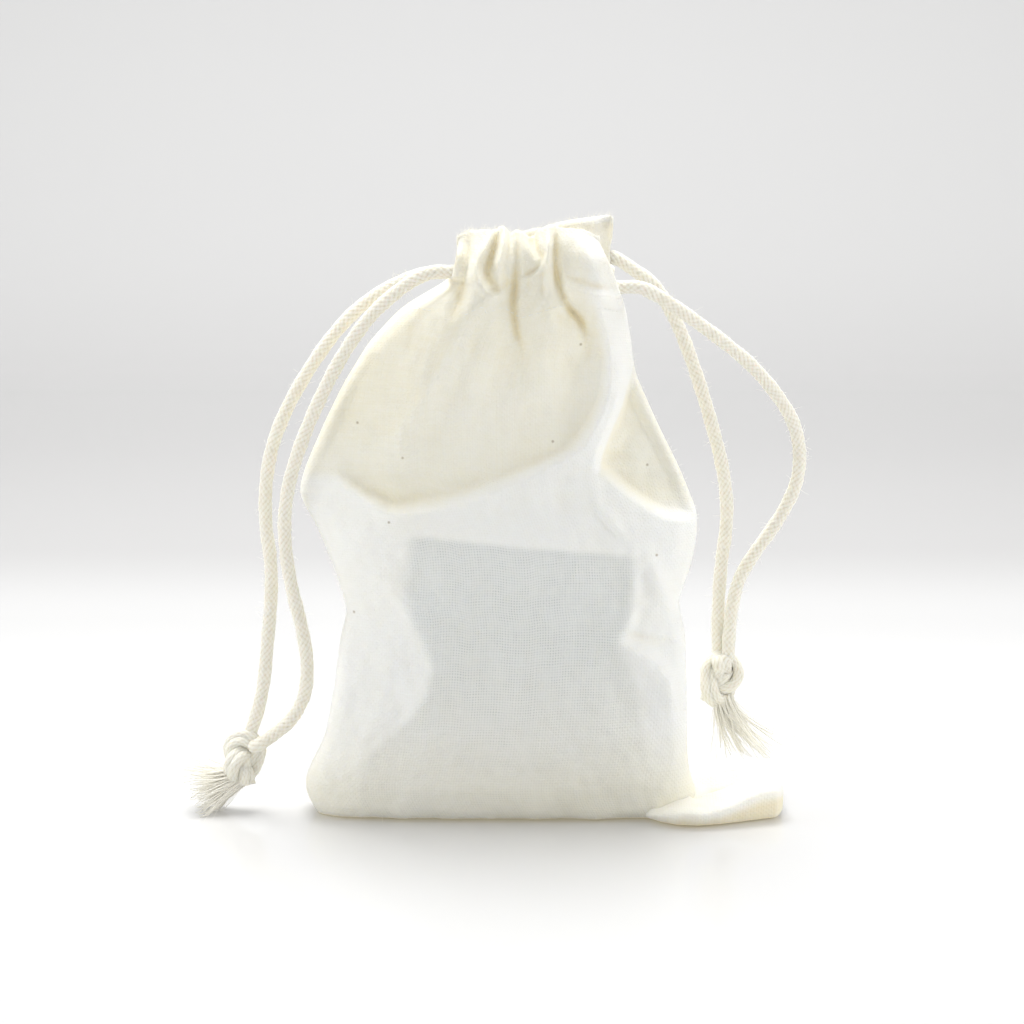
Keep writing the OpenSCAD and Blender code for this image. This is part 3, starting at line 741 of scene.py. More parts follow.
# Folds of the front, as (line of (x, z, strength), left side (height, reach), right side, edge)
FRONT_FOLDS = [
    # the main fold: full cloth below it, sunk cloth above it; sharp on the left, soft on the right
    ([(-34, 57.6, 0.2), (-31.4, 56.2, 0.5), (-28, 54.3, 1), (-24.7, 53, 1.1), (-21, 53, 1),
     (-18.3, 53.7, 0.6), (-14, 54.8, 0)], (-0.8, 2.0), (0.5, 1.4), 0.5),
    ([(-33, 57, 0.3), (-28, 54.4, 0.7), (-24.7, 53, 0.9), (-18.3, 53.8, 1), (-11.8, 55.4, 1),
     (-3.7, 58.7, 0.9), (4.4, 62.5, 1), (7.6, 66.5, 1), (9.4, 70.5, 0.8), (10, 76, 0.5), (9.2, 82, 0.3),
     (7.9, 87, 0.1)], (-1.5, 9.0), (1.2, 3.0), 1.1),
    # soft crest from the neck down to the left end of the main fold
    ([(-9.5, 93, 0.3), (-11.3, 89.2, 0.7), (-12.4, 85.6, 1), (-15.2, 79, 1), (-18.5, 73.3, 0.9),
     (-23, 67, 0.7), (-26.4, 62, 0.4), (-29, 58, 0)], (2.4, 3.4), (2.2, 7.5), 0.6),
    ([(-8.5, 86, 0.5), (-9.2, 80, 1), (-11.5, 72, 0.8), (-15, 64, 0)], (0.7, 2.0), (0.7, 2.4), 0.8),
    ([(-1.0, 86, 0.6), (-0.4, 79, 1), (0.6, 71, 0.8), (0.8, 64, 0)], (0.8, 1.9), (0.8, 2.6), 0.8),
    ([(3.4, 80, 0), (4.6, 75, 1), (5.2, 69, 0.6), (4.2, 64, 0)], (-0.6, 1.8), (-0.6, 1.8), 0.8),
    # outer edge of the right pleat, over the sunk pocket beside it
    ([(13.6, 86, 0), (14.2, 79, 0.5), (13.8, 73.5, 0.9), (12.6, 69, 1), (11, 65, 1), (9.4, 61, 0.9),
     (9, 58.6, 0.3)], (-3.0, 5.5), (1.1, 6.0), 1.4),
    # lower lip of the pocket
    ([(8.9, 60, 0.1), (9.8, 59, 0.8), (12.8, 56.1, 1), (16.5, 53.4, 1), (20, 51.5, 1), (25, 50.3, 0.7)],
     (-2.4, 5.0), (0.6, 3.0), 0.8),
    # crumples under the pocket
    ([(7.6, 55, 0.3), (9.2, 51.8, 1), (11.2, 49.8, 1), (13.6, 47, 0)], (0.45, 1.4), (-0.5, 1.8), 0.9),
    ([(9.8, 53.5, 0), (11.4, 50.9, 1), (13.4, 48, 0)], (0.35, 0.8), (0.35, 0.9), 0.5),
    # arc beside the left edge of the sachet
    ([(-29.5, 42, 0.2), (-24.7, 38.3, 0.8), (-21.6, 34.4, 1), (-19.3, 30.2, 1), (-18.5, 26.4, 1),
     (-19.6, 22.2, 1), (-22.6, 18, 0.7), (-27, 13.8, 0.4), (-31.5, 10, 0)], (0.65, 2.8), (0.3, 3.6), 1.0),
    # star of creases at the right edge of the sachet
    ([(15.6, 48, 0), (17.2, 44, 0.7), (19, 40.2, 1), (20.9, 36.4, 1), (23.1, 31.3, 0.6)], (1.2, 1.3),
     (1.2, 1.9), 0.4),
    ([(14.1, 45, 0.3), (14.6, 40.6, 1), (14.4, 36, 0.8), (12.4, 31.5, 1)], (0.9, 1.1), (0.9, 1.3), 0.4),
    ([(11.2, 31, 0.5), (14.2, 29.8, 1), (17.3, 28, 1), (19.6, 25.4, 1), (21.2, 21.6, 0.9), (22.4, 15, 0.2)],
     (1.5, 1.2), (1.5, 2.6), 0.4),
    ([(12.2, 32.4, 0.4), (15.7, 31.3, 1), (20.2, 30.2, 0.9), (23.5, 30, 0.3)], (-0.9, 0.9), (-0.9, 1.1), 0.4),
    ([(9, 27, 0), (11, 24, 0.8), (13.5, 20, 0.8), (15, 14, 0)], (-0.9, 3.0), (-0.9, 2.6), 0.8),
    ([(24.4, 46, 0.4), (23.4, 40, 1), (21.9, 36, 0.6), (23, 30, 0)], (-0.5, 0.5), (0.4, 0.6), 0.3),
    # gathers at the mouth: broad pleats with narrow slots between them
    ([(-13.1, 98, 1), (-13.6, 93.6, 1), (-14.7, 89.2, 0.8), (-17, 85, 0.3)], (0.6, 1.2), (0.6, 1.5), 0.4),
    ([(-11.9, 99, 0.6), (-12.1, 95, 1), (-12.6, 91.5, 1), (-13.4, 88.2, 0.8), (-15.2, 83.5, 0)], (-1.6, 0.8),
     (-1.4, 1.5), 0.4),
    ([(-7.2, 98.6, 0.6), (-9, 95.5, 0.9), (-10.5, 92.8, 1), (-10.4, 90.6, 1), (-9.4, 89, 1), (-7.9, 87.9, 1),
     (-6.6, 88.2, 0.5)], (0.5, 0.55), (0.9, 1.3), 0.35),
    ([(-7.1, 97.8, 0.7), (-8, 95, 1), (-8.9, 92.4, 1.1), (-9, 90.7, 0.8), (-8, 89.6, 0)], (-1.45, 0.75),
     (-1.45, 0.6), 0.35),
    ([(-6.3, 99.4, 1), (-6.7, 95, 1), (-7.3, 92, 0.8), (-6.8, 89, 0.4), (-6.2, 86, 0)], (1.1, 0.8),
     (1.1, 0.7), 0.3),
    ([(-5.4, 99, 0.8), (-5.5, 96, 0.6), (-5.7, 93, 0)], (-1.2, 0.55), (-1.2, 0.55), 0.3),
    ([(-4.4, 98, 0.6), (-4.4, 95, 1), (-4.5, 91, 1), (-4.7, 88, 1.1), (-4.9, 85.2, 1.2), (-4.5, 82.4, 0.9),
     (-3.9, 80, 0.3), (-3.4, 78, 0)], (-1.05, 0.6), (-1.05, 0.7), 0.3),
    ([(-4.5, 93, 0), (-4.9, 86, 1), (-4.6, 81, 1), (-4.2, 76, 0.6), (-4.6, 70, 0)], (-1.0, 2.4), (-1.0, 2.6),
     0.8),
    ([(-4.2, 99, 0.7), (-3.7, 94, 0.4), (-3.4, 89, 0.5), (-2.8, 84, 0.3)], (0.35, 0.7), (0.35, 1.5), 0.3),
    ([(-1.6, 98.4, 1), (-1.5, 95.8, 1), (-0.9, 94.2, 0.4), (-0.6, 93.4, 0)], (-1.5, 0.55), (-1.5, 0.7), 0.3),
    ([(-3.6, 90.4, 0.4), (-1.8, 91.1, 0.9), (-0.5, 92.4, 1), (0.3, 94.4, 1), (0.4, 96.5, 0.6)], (-0.35, 0.9),
     (0.5, 0.6), 0.35),
    ([(0.7, 99.6, 1), (0.6, 95.8, 1), (0.6, 92.5, 0.9), (0.8, 88, 0.5), (1.4, 82, 0.2)], (1.2, 0.9),
     (1.2, 0.8), 0.3),
    ([(1.9, 98, 0.5), (1.8, 95.5, 0.9), (1.8, 92.6, 1), (2.2, 89.9, 1.1), (3.1, 87.3, 1.2), (4.2, 85.2, 1.3),
     (5.6, 83.4, 1), (6.6, 81.5, 0.3), (7.2, 79, 0)], (-1.1, 0.7), (-1.1, 0.6), 0.3),
    ([(3, 86.4, 0), (4.3, 84.4, 1), (5.6, 82.6, 1), (6.4, 79.5, 0.5), (6.8, 75, 0)], (-1.7, 1.5), (-1.3, 2.2),
     0.5),
    ([(2.8, 98.6, 0.8), (4.5, 97.2, 1), (6.8, 94.5, 0.9), (8.5, 91, 0.6)], (0.9, 2.4), (0.9, 2.0), 0.5),
    ([(3.6, 90, 0.5), (5.4, 89.5, 1), (7.3, 88.8, 1), (9.2, 88.4, 1), (12, 88.2, 0.9)], (-0.35, 1.3),
     (0.8, 1.6), 1.0),
    ([(5.2, 88.6, 0.3), (7.6, 87.2, 1), (9.8, 84.6, 1), (11.4, 80.2, 1), (12, 75, 0.6), (12, 70, 0.2)],
     (1.2, 2.6), (1.2, 2.6), 0.6),
]
FRONT_SWELLS = [
    # at x, z, wide, tall, height
    (-3, 47, 22, 8, 1.2), (-30, 66, 7, 10, -1.4), (-4, 70, 11, 11, -1.5), (20, 62, 7, 8, -2.2),
    (-28, 26, 7, 13, -1.1), (18, 20, 5, 9, -0.6), (-26, 50, 7, 4, 0.8), (17, 49, 8, 4, 1.1),
    (-2, 6, 30, 6, 0.5), (6, 90, 4, 6, 0.8),
]
BACK_FOLDS = [
    ([(-14, 86, 0.4), (-17, 76, 1), (-22, 66, 1), (-29, 57, 0.4), (-35, 53, 0)], (1.2, 3.2), (-1.0, 4.2),
     1.6),
    ([(10, 88, 0.4), (9, 76, 1), (12, 66, 1), (18, 57, 0.7), (24, 51, 0)], (-1.2, 4.0), (1.2, 3.0), 1.6),
    ([(-20, 49, 0.2), (-10, 51.4, 0.9), (0, 50, 1), (9, 51.6, 0.8), (16, 48, 0.1)], (-1.5, 4.5), (0.9, 3.5),
     2.0),
    ([(-3, 84, 0.5), (-4, 74, 1), (-2, 64, 0.6), (-4, 56, 0)], (-1.1, 2.2), (-1.1, 2.6), 0.6),
    ([(-27, 42, 0), (-22, 34, 0.8), (-21, 24, 1), (-26, 13, 0.2)], (0.8, 2.4), (0.8, 3.0), 0.6),
    ([(20, 42, 0), (17, 32, 0.9), (18, 20, 1), (22, 10, 0.2)], (0.8, 2.6), (0.8, 2.2), 0.6),
    ([(-16, 12, 0), (-6, 10, 0.7), (6, 11, 0.7), (16, 9, 0)], (0.5, 2.0), (-0.5, 2.4), 1.4),
]
BACK_SWELLS = [(-4, 27, 17, 20, 0.6), (-29, 66, 7, 10, -1.2), (18, 64, 6, 9, -1.2), (-4, 66, 12, 9, -1.0)]
BACK_PLEATS = [-12.4, -9.4, -6.9, -3.6, -1.2, 1.2]

# Height of the rims by x
RIM_HEIGHT = [
    (-14, 96.2), (-13, 97.1), (-11.8, 97.5), (-9.6, 97.9), (-8.4, 97.8), (-7.8, 97.5), (-7.2, 98.2),
    (-6.6, 98.5), (-6, 98.2), (-5.4, 97.1), (-4.9, 97.5), (-4.2, 97.8), (-3.5, 97.6), (-2.9, 97),
    (-2.3, 96.6), (-1.6, 96.7), (-1.2, 97.4), (-0.7, 97.8), (-0.2, 97.8), (0.2, 98.3), (1, 98.7), (1.8, 98.7),
    (2.6, 98.2), (4.5, 98.1), (6.4, 97.9), (7.5, 97.3), (9, 96)]
BACK_RIM = [
    (-14, 95.4), (-12, 96.4), (-10, 95.8), (-8, 96.4), (-5, 95.6), (-3, 96.2), (0, 96.6), (2.4, 97.6),
    (5, 98.1), (8, 98.6), (10.2, 98.9), (11, 98.9), (11.4, 98.4)]
WAY_OUT = 7.9           # how far each side stands off at its edges, where the cords leave
CORD_FRONT = 7.65       # the cloth keeps at least this far out over the cords
INNER_Y = 3.5           # the inner face of the mouth, below the rim
HEM = 11.5
HEM_GAP = 0.9           # between the outer cloth and the hem inside it
# Rows of points in a cloth side: under the bag, up the outside, over the rim, and down inside the mouth
UNDER_ROWS, ROWS, RIM_ROWS, HEM_ROWS = 8, 330, 12, 36
RIM_TOP_ROW = UNDER_ROWS + ROWS + RIM_ROWS
CLOTH_THICK = 0.34


def front_height(x, z):
    """How far the front stands out from its smooth shape at a place."""
    total = sum(swell(x, z, *s) for s in FRONT_SWELLS)
    total = total + sum(fold(x, z, *f) for f in FRONT_FOLDS)
    total += 0.16 * ripple(x, z, 9, 3) + 0.06 * ripple(x, z, 3.6, 4)
    total = total * (1 + 0.28 * smooth((z - 85) / 4))
    near_neck = smooth((z - 66) / 16)
    total += 0.1 * near_neck * ripple(x * 1.7, z * 0.35, 4.6, 5)
    return total


def back_height(x, z):
    """The same for the back."""
    total = sum(swell(x, z, *s) for s in BACK_SWELLS)
    total = total + sum(fold(x, z, *f) for f in BACK_FOLDS)
    flap_fold = [(5.4, 92, 0), (5.6, 88, 1), (7.6, 82, 0.8), (11, 74, 0)]
    total = total + fold(x, z, flap_fold, (-1.6, 1.0), (-1.6, 1.4), 0.4)
    for k, at in enumerate(BACK_PLEATS):
        lean = 0.5 * math.sin(2.1 * k)
        depth = 1.5 if k % 2 == 0 else -1.9
        line = [(at, 101, 0.8), (at + lean, 92, 1), (at * 1.1 + lean, 85, 0.8), (at * 1.5, 76, 0)]
        total = total + fold(x, z, line, (depth, 1.0), (depth, 1.2), 0.4)
    total += 0.14 * ripple(x, z, 12, 13) + 0.03 * ripple(x, z, 4.5, 14)
    return total * (1 - 0.9 * smooth((x - 1.5) / 2) * smooth((z - 90) / 4))


def blurred(grid, reach):
    """A grid smoothed along both its directions."""
    k = int(3 * reach)
    weight = np.exp(-0.5 * (np.arange(-k, k + 1) / reach) ** 2)
    weight /= weight.sum()
    for axis in (0, 1):
        wide = np.pad(grid, [(k, k) if a == axis else (0, 0) for a in (0, 1)], mode="edge")
        grid = np.apply_along_axis(lambda row: np.convolve(row, weight, mode="valid"), axis, wide)
    return grid


def cloth_sheet(side, height, rim, left_edge, right_edge, opens, columns=230):
    """One side of the bag, from the middle of its bottom up to the rim and down the inside of the mouth.
    opens gives, for the left and right edge, the height where the cord's way out begins and how soon it is
    fully open. Returns the grid of points and, for each, its place on the flat cloth and how deep in a
    fold it lies."""
    u = np.linspace(-1, 1, columns)
    s = 0.55 * u + 0.45 * np.sin(0.5 * math.pi * u)
    at_top = table(97.0, left_edge) * (1 - s) / 2 + table(97.0, right_edge) * (1 + s) / 2
    top = np.convolve(np.pad(table(at_top, rim), 2, mode="edge"), [0.1, 0.2, 0.4, 0.2, 0.1], mode="valid")
    rim_r = 0.45
    z = np.linspace(0, 1, ROWS)[:, None] * (top - rim_r)[None, :]
    sides = s[None, :] + 0 * z
    low, high = table(z, left_edge), table(z, right_edge)
    x = (low + high) / 2 + (high - low) / 2 * sides
    n = table(z, SQUARENESS)
    crown = np.clip(1 - np.abs(sides) ** n, 0, 1) ** (1 / n)
    # open at the edges where the cords leave, domed over the sachet between them
    lift = [smooth((z - at) / reach) for at, reach in opens]
    opened = WAY_OUT * (lift[0] * (1 - sides) / 2 + lift[1] * (1 + sides) / 2)
    opened = opened * (1 - 0.34 * smooth((z - 93.6) / 2.4))
    depth = opened + (BELLY * table(z, FULLNESS) - opened) * crown
    # folds fade out toward the side seams, less so at the mouth; small puckers run along the seams
    from_edge = (high - low) / 2 * (1 - np.abs(sides))
    at_mouth = smooth((z - 87) / 4)
    raised = height(x, z) * (smooth(from_edge / 3.0) * (1 - 0.5 * at_mouth) + 0.5 * at_mouth)
    pucker = 0.14 * np.sin(z * 2.7 + 1.2 * np.sin(z * 0.37)) * np.exp(-from_edge / 1.6) * smooth((84 - z) / 4)
    # rounded under at the table, drawn in at the rim, never through the cords
    under = 1 - np.sqrt(np.clip(1 - np.clip(1 - z / 2.6, 0, 1) ** 2, 0, 1))
    depth = depth + raised + pucker * crown - 1.8 * under * crown
    depth = depth - 1.0 * np.clip((z - z[-1] + 2.6) / 2.6, 0, 1) ** 2
    lane = (smooth((z - 86) / 1.3) * smooth((94.6 - z) / 1.3) * smooth((x + 15.5) / 2) * smooth((13 - x) / 2)
            * smooth(opened / 4))
    depth = np.maximum(np.maximum(depth, CORD_FRONT * lane), 0.0)
    off_table = 0.08 * (side < 0) * (1 - np.abs(sides) ** 6)
    outer = np.stack([x, side * depth, z + 0.2 + off_table * np.exp(-(z / 2.2) ** 2)], axis=-1)

    # deep in a fold: lower than the cloth round it, close by and farther off; it sets the painted shade in
    # the cloth's colour
    relief = depth - opened * (1 - crown)
    deep = (0.8 * np.clip((blurred(relief, 3) - relief) / 0.35, 0, 1) * (0.1 + 0.7 * smooth((z - 74) / 8))
            + 0.28 * np.clip((blurred(relief, 14) - relief) / 2.5, 0, 1))
    deep = deep * (1 - 0.8 * smooth((z - z[-1] + 1.5) / 1.5)) * smooth((from_edge - 0.8) / 2.5)

    # the rim rolls over, and the hem goes down inside the mouth
    edge_y, edge_x, edge_z = depth[-1], x[-1], z[-1] + 0.2
    inner_y = np.maximum(edge_y - 0.5 - 1.7 * smooth(from_edge[-1] / 3), 2.4)
    lean = 0.65
    half = (edge_y - inner_y) / (1 + math.cos(lean))
    rim_rows = []
    for a in np.linspace(lean, math.pi, RIM_ROWS + 2)[1:-1]:
        over = rim_r * (math.sin(a) - math.sin(lean)) / (1 - math.sin(lean))
        rim_rows.append(np.stack([edge_x, side * (edge_y + half * (math.cos(a) - math.cos(lean))),
                                  edge_z + over], axis=-1))
    inner_rows = []
    middle, drawn_in = edge_x.mean(), 0.15 if side < 0 else 0.02
    for d in np.linspace(0.75, HEM, HEM_ROWS):
        row = np.clip(((edge_z - d) / z[-1] * (ROWS - 1)).round().astype(int), 0, ROWS - 1)
        outside = depth[row, np.arange(columns)]
        below = smooth((d - 0.75) / 4)
        wavy = 0.25 * np.sin(edge_x * 1.9 + d * 0.2) * (1 - 0.7 * smooth((edge_x - 3) / 3))
        want = inner_y + (INNER_Y - inner_y) * below + wavy
        y = np.clip(np.minimum(want, outside - HEM_GAP), 0.25, None)
        inner_x = middle + (edge_x - middle) * (1 - drawn_in * below)
        inner_rows.append(np.stack([inner_x, side * y, edge_z - d], axis=-1))
    bottom_rows = [np.stack([x[0], side * depth[0] * t, 0.08 + 0.12 * t + off_table[0] * t ** 3], axis=-1)
                   for t in np.linspace(0, 1, UNDER_ROWS + 1)[:-1]]

    grid = np.stack(bottom_rows + list(outer) + rim_rows + inner_rows)
    steps = np.linalg.norm(np.diff(grid, axis=1), axis=-1)
    across = np.concatenate([np.zeros((len(grid), 1)), np.cumsum(steps, axis=1)], axis=1)
    across = across - across[:, columns // 2:columns // 2 + 1]
    along = run(grid[:, columns // 2])
    # painted shade: the fold measure on the outside and rim, and a fixed share of it inside the mouth
    folded = np.concatenate([np.zeros((len(bottom_rows), columns)), deep,
                             np.repeat(deep[-1:], len(rim_rows), axis=0),
                             np.full((len(inner_rows), columns), 0.3)])
    flat = np.stack([across, along[:, None] + 0 * across, np.clip(folded, 0, 1)], axis=-1)
    return grid, flat


def cloth_solid(grid, outward, thick):
    """A grid of points as a closed piece of cloth: outer face, inner face and the four narrow edges."""
    rows, columns = grid.shape[:2]
    across, along = np.gradient(grid, axis=1), np.gradient(grid, axis=0)
    normal = unit(np.cross(across, along)) * outward
    inner = grid - normal * thick
    inner[..., 2] = np.maximum(inner[..., 2], FLOOR_Z + 0.06)
    points = np.concatenate([grid.reshape(-1, 3), inner.reshape(-1, 3)])
    count = rows * columns
    face = grid_faces(rows, columns, flip=outward < 0)
    border = grid_border(rows, columns)
    rim = [[a, b, b + count, a + count] for a, b in zip(border, border[1:] + border[:1])]
    if outward > 0:
        rim = [quad[::-1] for quad in rim]
    faces = face.tolist() + (face[:, ::-1] + count).tolist() + rim
    return points, faces


CLOTH = cloth_material("muslin")
# The edges of the sachet as they show through the front: x by height
SHOWS_LEFT = [
    (0, -30), (5, -31), (10, -30.5), (15, -25.5), (19, -21.5), (23, -19.3), (27, -18.6), (31, -19.8),
    (35, -21.8), (39, -22.4), (50, -21.6)]
SHOWS_RIGHT = [
    (0, 20), (15, 17.5), (22, 16), (26, 14.6), (29, 13.4), (31, 12.8), (37, 14.6), (44, 14.8), (50, 15.5)]
# Where the painted shade in the cloth's colour changes: the height of the main fold by x, and by height the
# two sides of the bright pleat on the right and the crest on the left
MAIN_FOLD = [(-34, 57.5), (-25, 53), (-18, 54), (-4, 58.7), (4, 62), (9, 58.5), (17, 53), (25, 52)]
PLEAT_LEFT = [(57, -6), (58.7, -3.7), (62.5, 4.4), (66.5, 7.6), (70.5, 9.4), (76, 10), (82, 9.2), (90, 6.5)]
PLEAT_RIGHT = [(58, 8.9), (61, 9.5), (65, 11), (69, 12.8), (73.5, 14.2), (79, 15.5), (90, 14)]
CREST = [(60, -28), (62, -26.4), (67, -23), (73.3, -18.5), (79, -15.2), (85.6, -12.4), (90, -11.3)]


def sachet_behind(x, z):
    """Where the sachet presses against the front and shows through it, 0 to 1; painted there as grey, partly
    the sachet's colour and partly shade.
    """
    left = smooth((x - table(z, SHOWS_LEFT)) / (3.4 + 1.8 * smooth((z - 30) / 8)) + 0.5)
    right = smooth((table(z, SHOWS_RIGHT) - x) / 5.4 + 0.5)
    top = smooth((46.8 - 0.091 * x - z) / 2.4 + 0.5)
    return left * right * top * (0.45 + 0.55 * smooth((z - 4) / 30))


def make_side(name, side, height, rim, nodes, left_edge, right_edge, opens):
    """One cloth side of the bag."""
    grid, flat = cloth_sheet(side, height, rim, left_edge, right_edge, opens)
    points, faces = cloth_solid(grid, -side, CLOTH_THICK)
    flat = np.concatenate([flat.reshape(-1, 3)] * 2)
    px, pz = points[:, 0], points[:, 2]
    # painted shade: warmer above the main fold and left of the crest, where the cloth lies in shade, less on
    # the pleat that faces the light, more toward the bottom where the cloth turns down; more fold shade left
    # of the crest
    bend = table(px, MAIN_FOLD)
    left, right = table(pz, PLEAT_LEFT), table(pz, PLEAT_RIGHT)
    pleat = (smooth((px - left) / 3 + 0.5) * smooth((right - px) / 0.8 + 0.5) * smooth((pz - 57) / 2)
             * (1 - 0.3 * smooth((pz - 86) / 4)))
    beside = smooth((table(pz, CREST) - px) / 1.6 + 0.5) * smooth((pz - 60) / 9)
    upper = smooth((pz - bend) / 2.5 + 0.5) * (0.82 + 0.12 * smooth((pz - 72) / 10) + 0.2 * beside)
    flat[:, 2] = np.clip(flat[:, 2] + 0.13 * beside * smooth((88 - pz) / 4), 0, 1)
    shade_warmth = 0.05 + 0.9 * upper * (1 - 1.1 * pleat) + 0.75 * smooth((20 - pz) / 18)
    # painted show-through of the sachet, weaker on the back
    shows = sachet_behind(px, pz) * (0.35 if side > 0 else 1)
    tone = np.column_stack([shade_warmth, shows, 0 * shade_warmth])
    piece = make_piece(name, points, faces, CLOTH, {"flat": flat, "tone": tone})
    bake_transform(piece)
    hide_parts(*nodes)
    return grid


BACK_RIGHT_EDGE = eased([p for p in RIGHT_EDGE if p[0] < 80] + [(84.6, 12.4), (90, 11.2), (101, 11.05)])
BACK_LEFT_EDGE = eased([p for p in LEFT_EDGE if p[0] < 79]
                       + [(84.6, -21), (87, -15.5), (88.5, -14), (101, -13.2)])
front_grid = make_side("front_cloth", -1, front_height, RIM_HEIGHT,
                       ["front_panel", "front_casing", "bottom_fold"], LEFT_SOFT, RIGHT_SOFT,
                       ((89.0, 1.6), (84.4, 3.4)))
back_grid = make_side("back_cloth", 1, back_height, BACK_RIM,
                      ["back_panel", "back_casing"], BACK_LEFT_EDGE, BACK_RIGHT_EDGE,
                      ((87.0, 1.6), (89.4, 1.6)))


# ---------------------------------------------------------------- the spare corner, stitching and seams

def make_ear():
    """The empty bottom corner that lies beside the bag: a flattened tube of cloth with a rolled front lip."""
    columns, around = 110, 150
    along = np.linspace(0, 1, columns)
    x = 16 + 24.1 * along
    lip = table(x, [(16, 0.8), (18, 1.6), (20, 2.2), (23, 2.7), (27, 2.6), (29, 2.9), (32, 3.8), (36, 5.1),
                    (40.1, 5.3)])
    top = table(x, [(16, 1.2), (20, 3.6), (24, 4.1), (28, 4.2), (33, 4.9), (38, 5.4), (40.1, 5.1)])
    back = table(x, [(16, 3), (25, 5.2), (32, 5.4), (38, 5.4), (40.1, 4.8)])
    front_y = -table(x, [(16, 5.8), (17.5, 8.2), (19.5, 10.6), (22, 12.2), (25.5, 12.6), (29, 11.7),
                         (32, 10.4), (36, 8.6), (40.1, 6.6)])
    rings = []
    for k in range(columns):
        h, t, b, f = lip[k], top[k], back[k], front_y[k]
        # as (y, z): in under the front lip, out round it, over the top, down the back and along the table
        section = [(f + 2.6, 0.2), (f + 1.4, 0.5), (f + 0.8, 0.45 * h), (f + 0.1, 0.8 * h), (f - 0.1, h),
                   (f + 0.9, h + 0.7), (f + 2.6, h + 0.55), (f + 5, 0.6 * t + 0.4 * h), (0, t),
                   (3.4, b + 0.3), (5.4, b - 0.1), (6.2, b - 1), (6, 1), (5.2, 0.2), (0, 0.15),
                   (f + 2.6, 0.2)]
        ring = smooth_line(section, 0.15)
        t_new = np.linspace(0, len(ring) - 1, around + 1)[:-1]
        ring = np.column_stack([np.interp(t_new, np.arange(len(ring)), ring[:, i]) for i in (0, 1)])
        shrink = math.sqrt(max(1 - max(0.0, (x[k] - 38.3) / 1.85) ** 2, 0.0004))
        centre = np.array([ring[:, 0].mean(), ring[:, 1].min() + 0.5 * np.ptp(ring[:, 1])])
        ring = centre + (ring - centre) * (0.25 + 0.75 * shrink if 0 < k < columns - 1 else 0.05)
        rings.append(np.column_stack([np.full(around, x[k]), ring]))
    rings = np.array(rings)
    across, deep_in = rings[..., 0], rings[..., 1]
    dent = (fold(across, deep_in, [(26.2, -4.6, 0.6), (29, -3, 1), (32.6, -0.6, 0.8), (35, 1, 0)],
                 (-0.7, 2.4), (0.35, 1.2), 0.35)
            + fold(across, deep_in, [(23.6, -1, 0.3), (24.2, -4, 1), (25, -5.6, 0.4)],
                   (-0.5, 0.8), (0.3, 1.0), 0.35)
            + 0.1 * ripple(across, deep_in, 5, 51))
    rings[..., 2] += dent * smooth((rings[..., 2] - 2) / 2)
    rings[..., 2] = np.maximum(rings[..., 2], 0.12)
    steps = np.linalg.norm(np.diff(rings, axis=1, append=rings[:, :1]), axis=-1)
    flat = np.stack([rings[..., 0], np.cumsum(steps, axis=1), 0.25 + 0 * steps], axis=-1)
    faces = grid_faces(columns, around, wrap=True)[:, ::-1].tolist()
    last = (columns - 1) * around
    faces += [list(range(around)), list(range(last, last + around))[::-1]]
    # painted shade: warmer and darker under the rolled lip, and darker in the creases on top
    under = smooth((lip[:, None] - 0.4 - rings[..., 2]) / 2) * smooth((-rings[..., 1] - 2) / 2)
    tone = np.stack([0.25 + 0.75 * under, 0 * under, 0 * under], axis=-1)
    crease = np.clip(-dent / 0.6, 0, 1) ** 3 * smooth((rings[..., 2] - 1.5) / 1.5)
    flat[..., 2] = np.maximum(0.55 * under, 0.85 * crease)
    piece = make_piece("corner_ear_cloth", rings.reshape(-1, 3), faces, CLOTH,
                       {"flat": flat.reshape(-1, 3), "tone": tone.reshape(-1, 3)})
    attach(piece, "bag")
    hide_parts("corner_ear")


def make_casing_stitches(name, grid, side, node, z_line, seed):
    """The row of small stitches that holds the hem down, following the gathers."""
    rng = np.random.default_rng(seed)
    middle = grid[UNDER_ROWS:ROWS, grid.shape[1] // 2, 2]
    band = grid[UNDER_ROWS + int(np.argmin(np.abs(middle - z_line)))]
    length = run(band)
    lines, at = [], 2.5
    while at < length[-1] - 3:
        reach = rng.uniform(0.75, 0.95)
        t = np.linspace(0, 1, 8)
        place = np.column_stack([np.interp(at + reach * t, length, band[:, k]) for k in range(3)])
        place[:, 1] += side * (0.13 * np.sin(math.pi * t) - 0.06)
        place[:, 2] += rng.normal(0, 0.06) + 0.4 * math.sin(at * 0.35)
        lines.append(place)
        at += reach + rng.uniform(0.4, 0.6)
    points, faces = thin_tubes(lines, [0.075] * len(lines), sides=6)
    piece = make_piece(name, points, faces, THREAD_WHITE)
    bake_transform(piece)
    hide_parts(node)


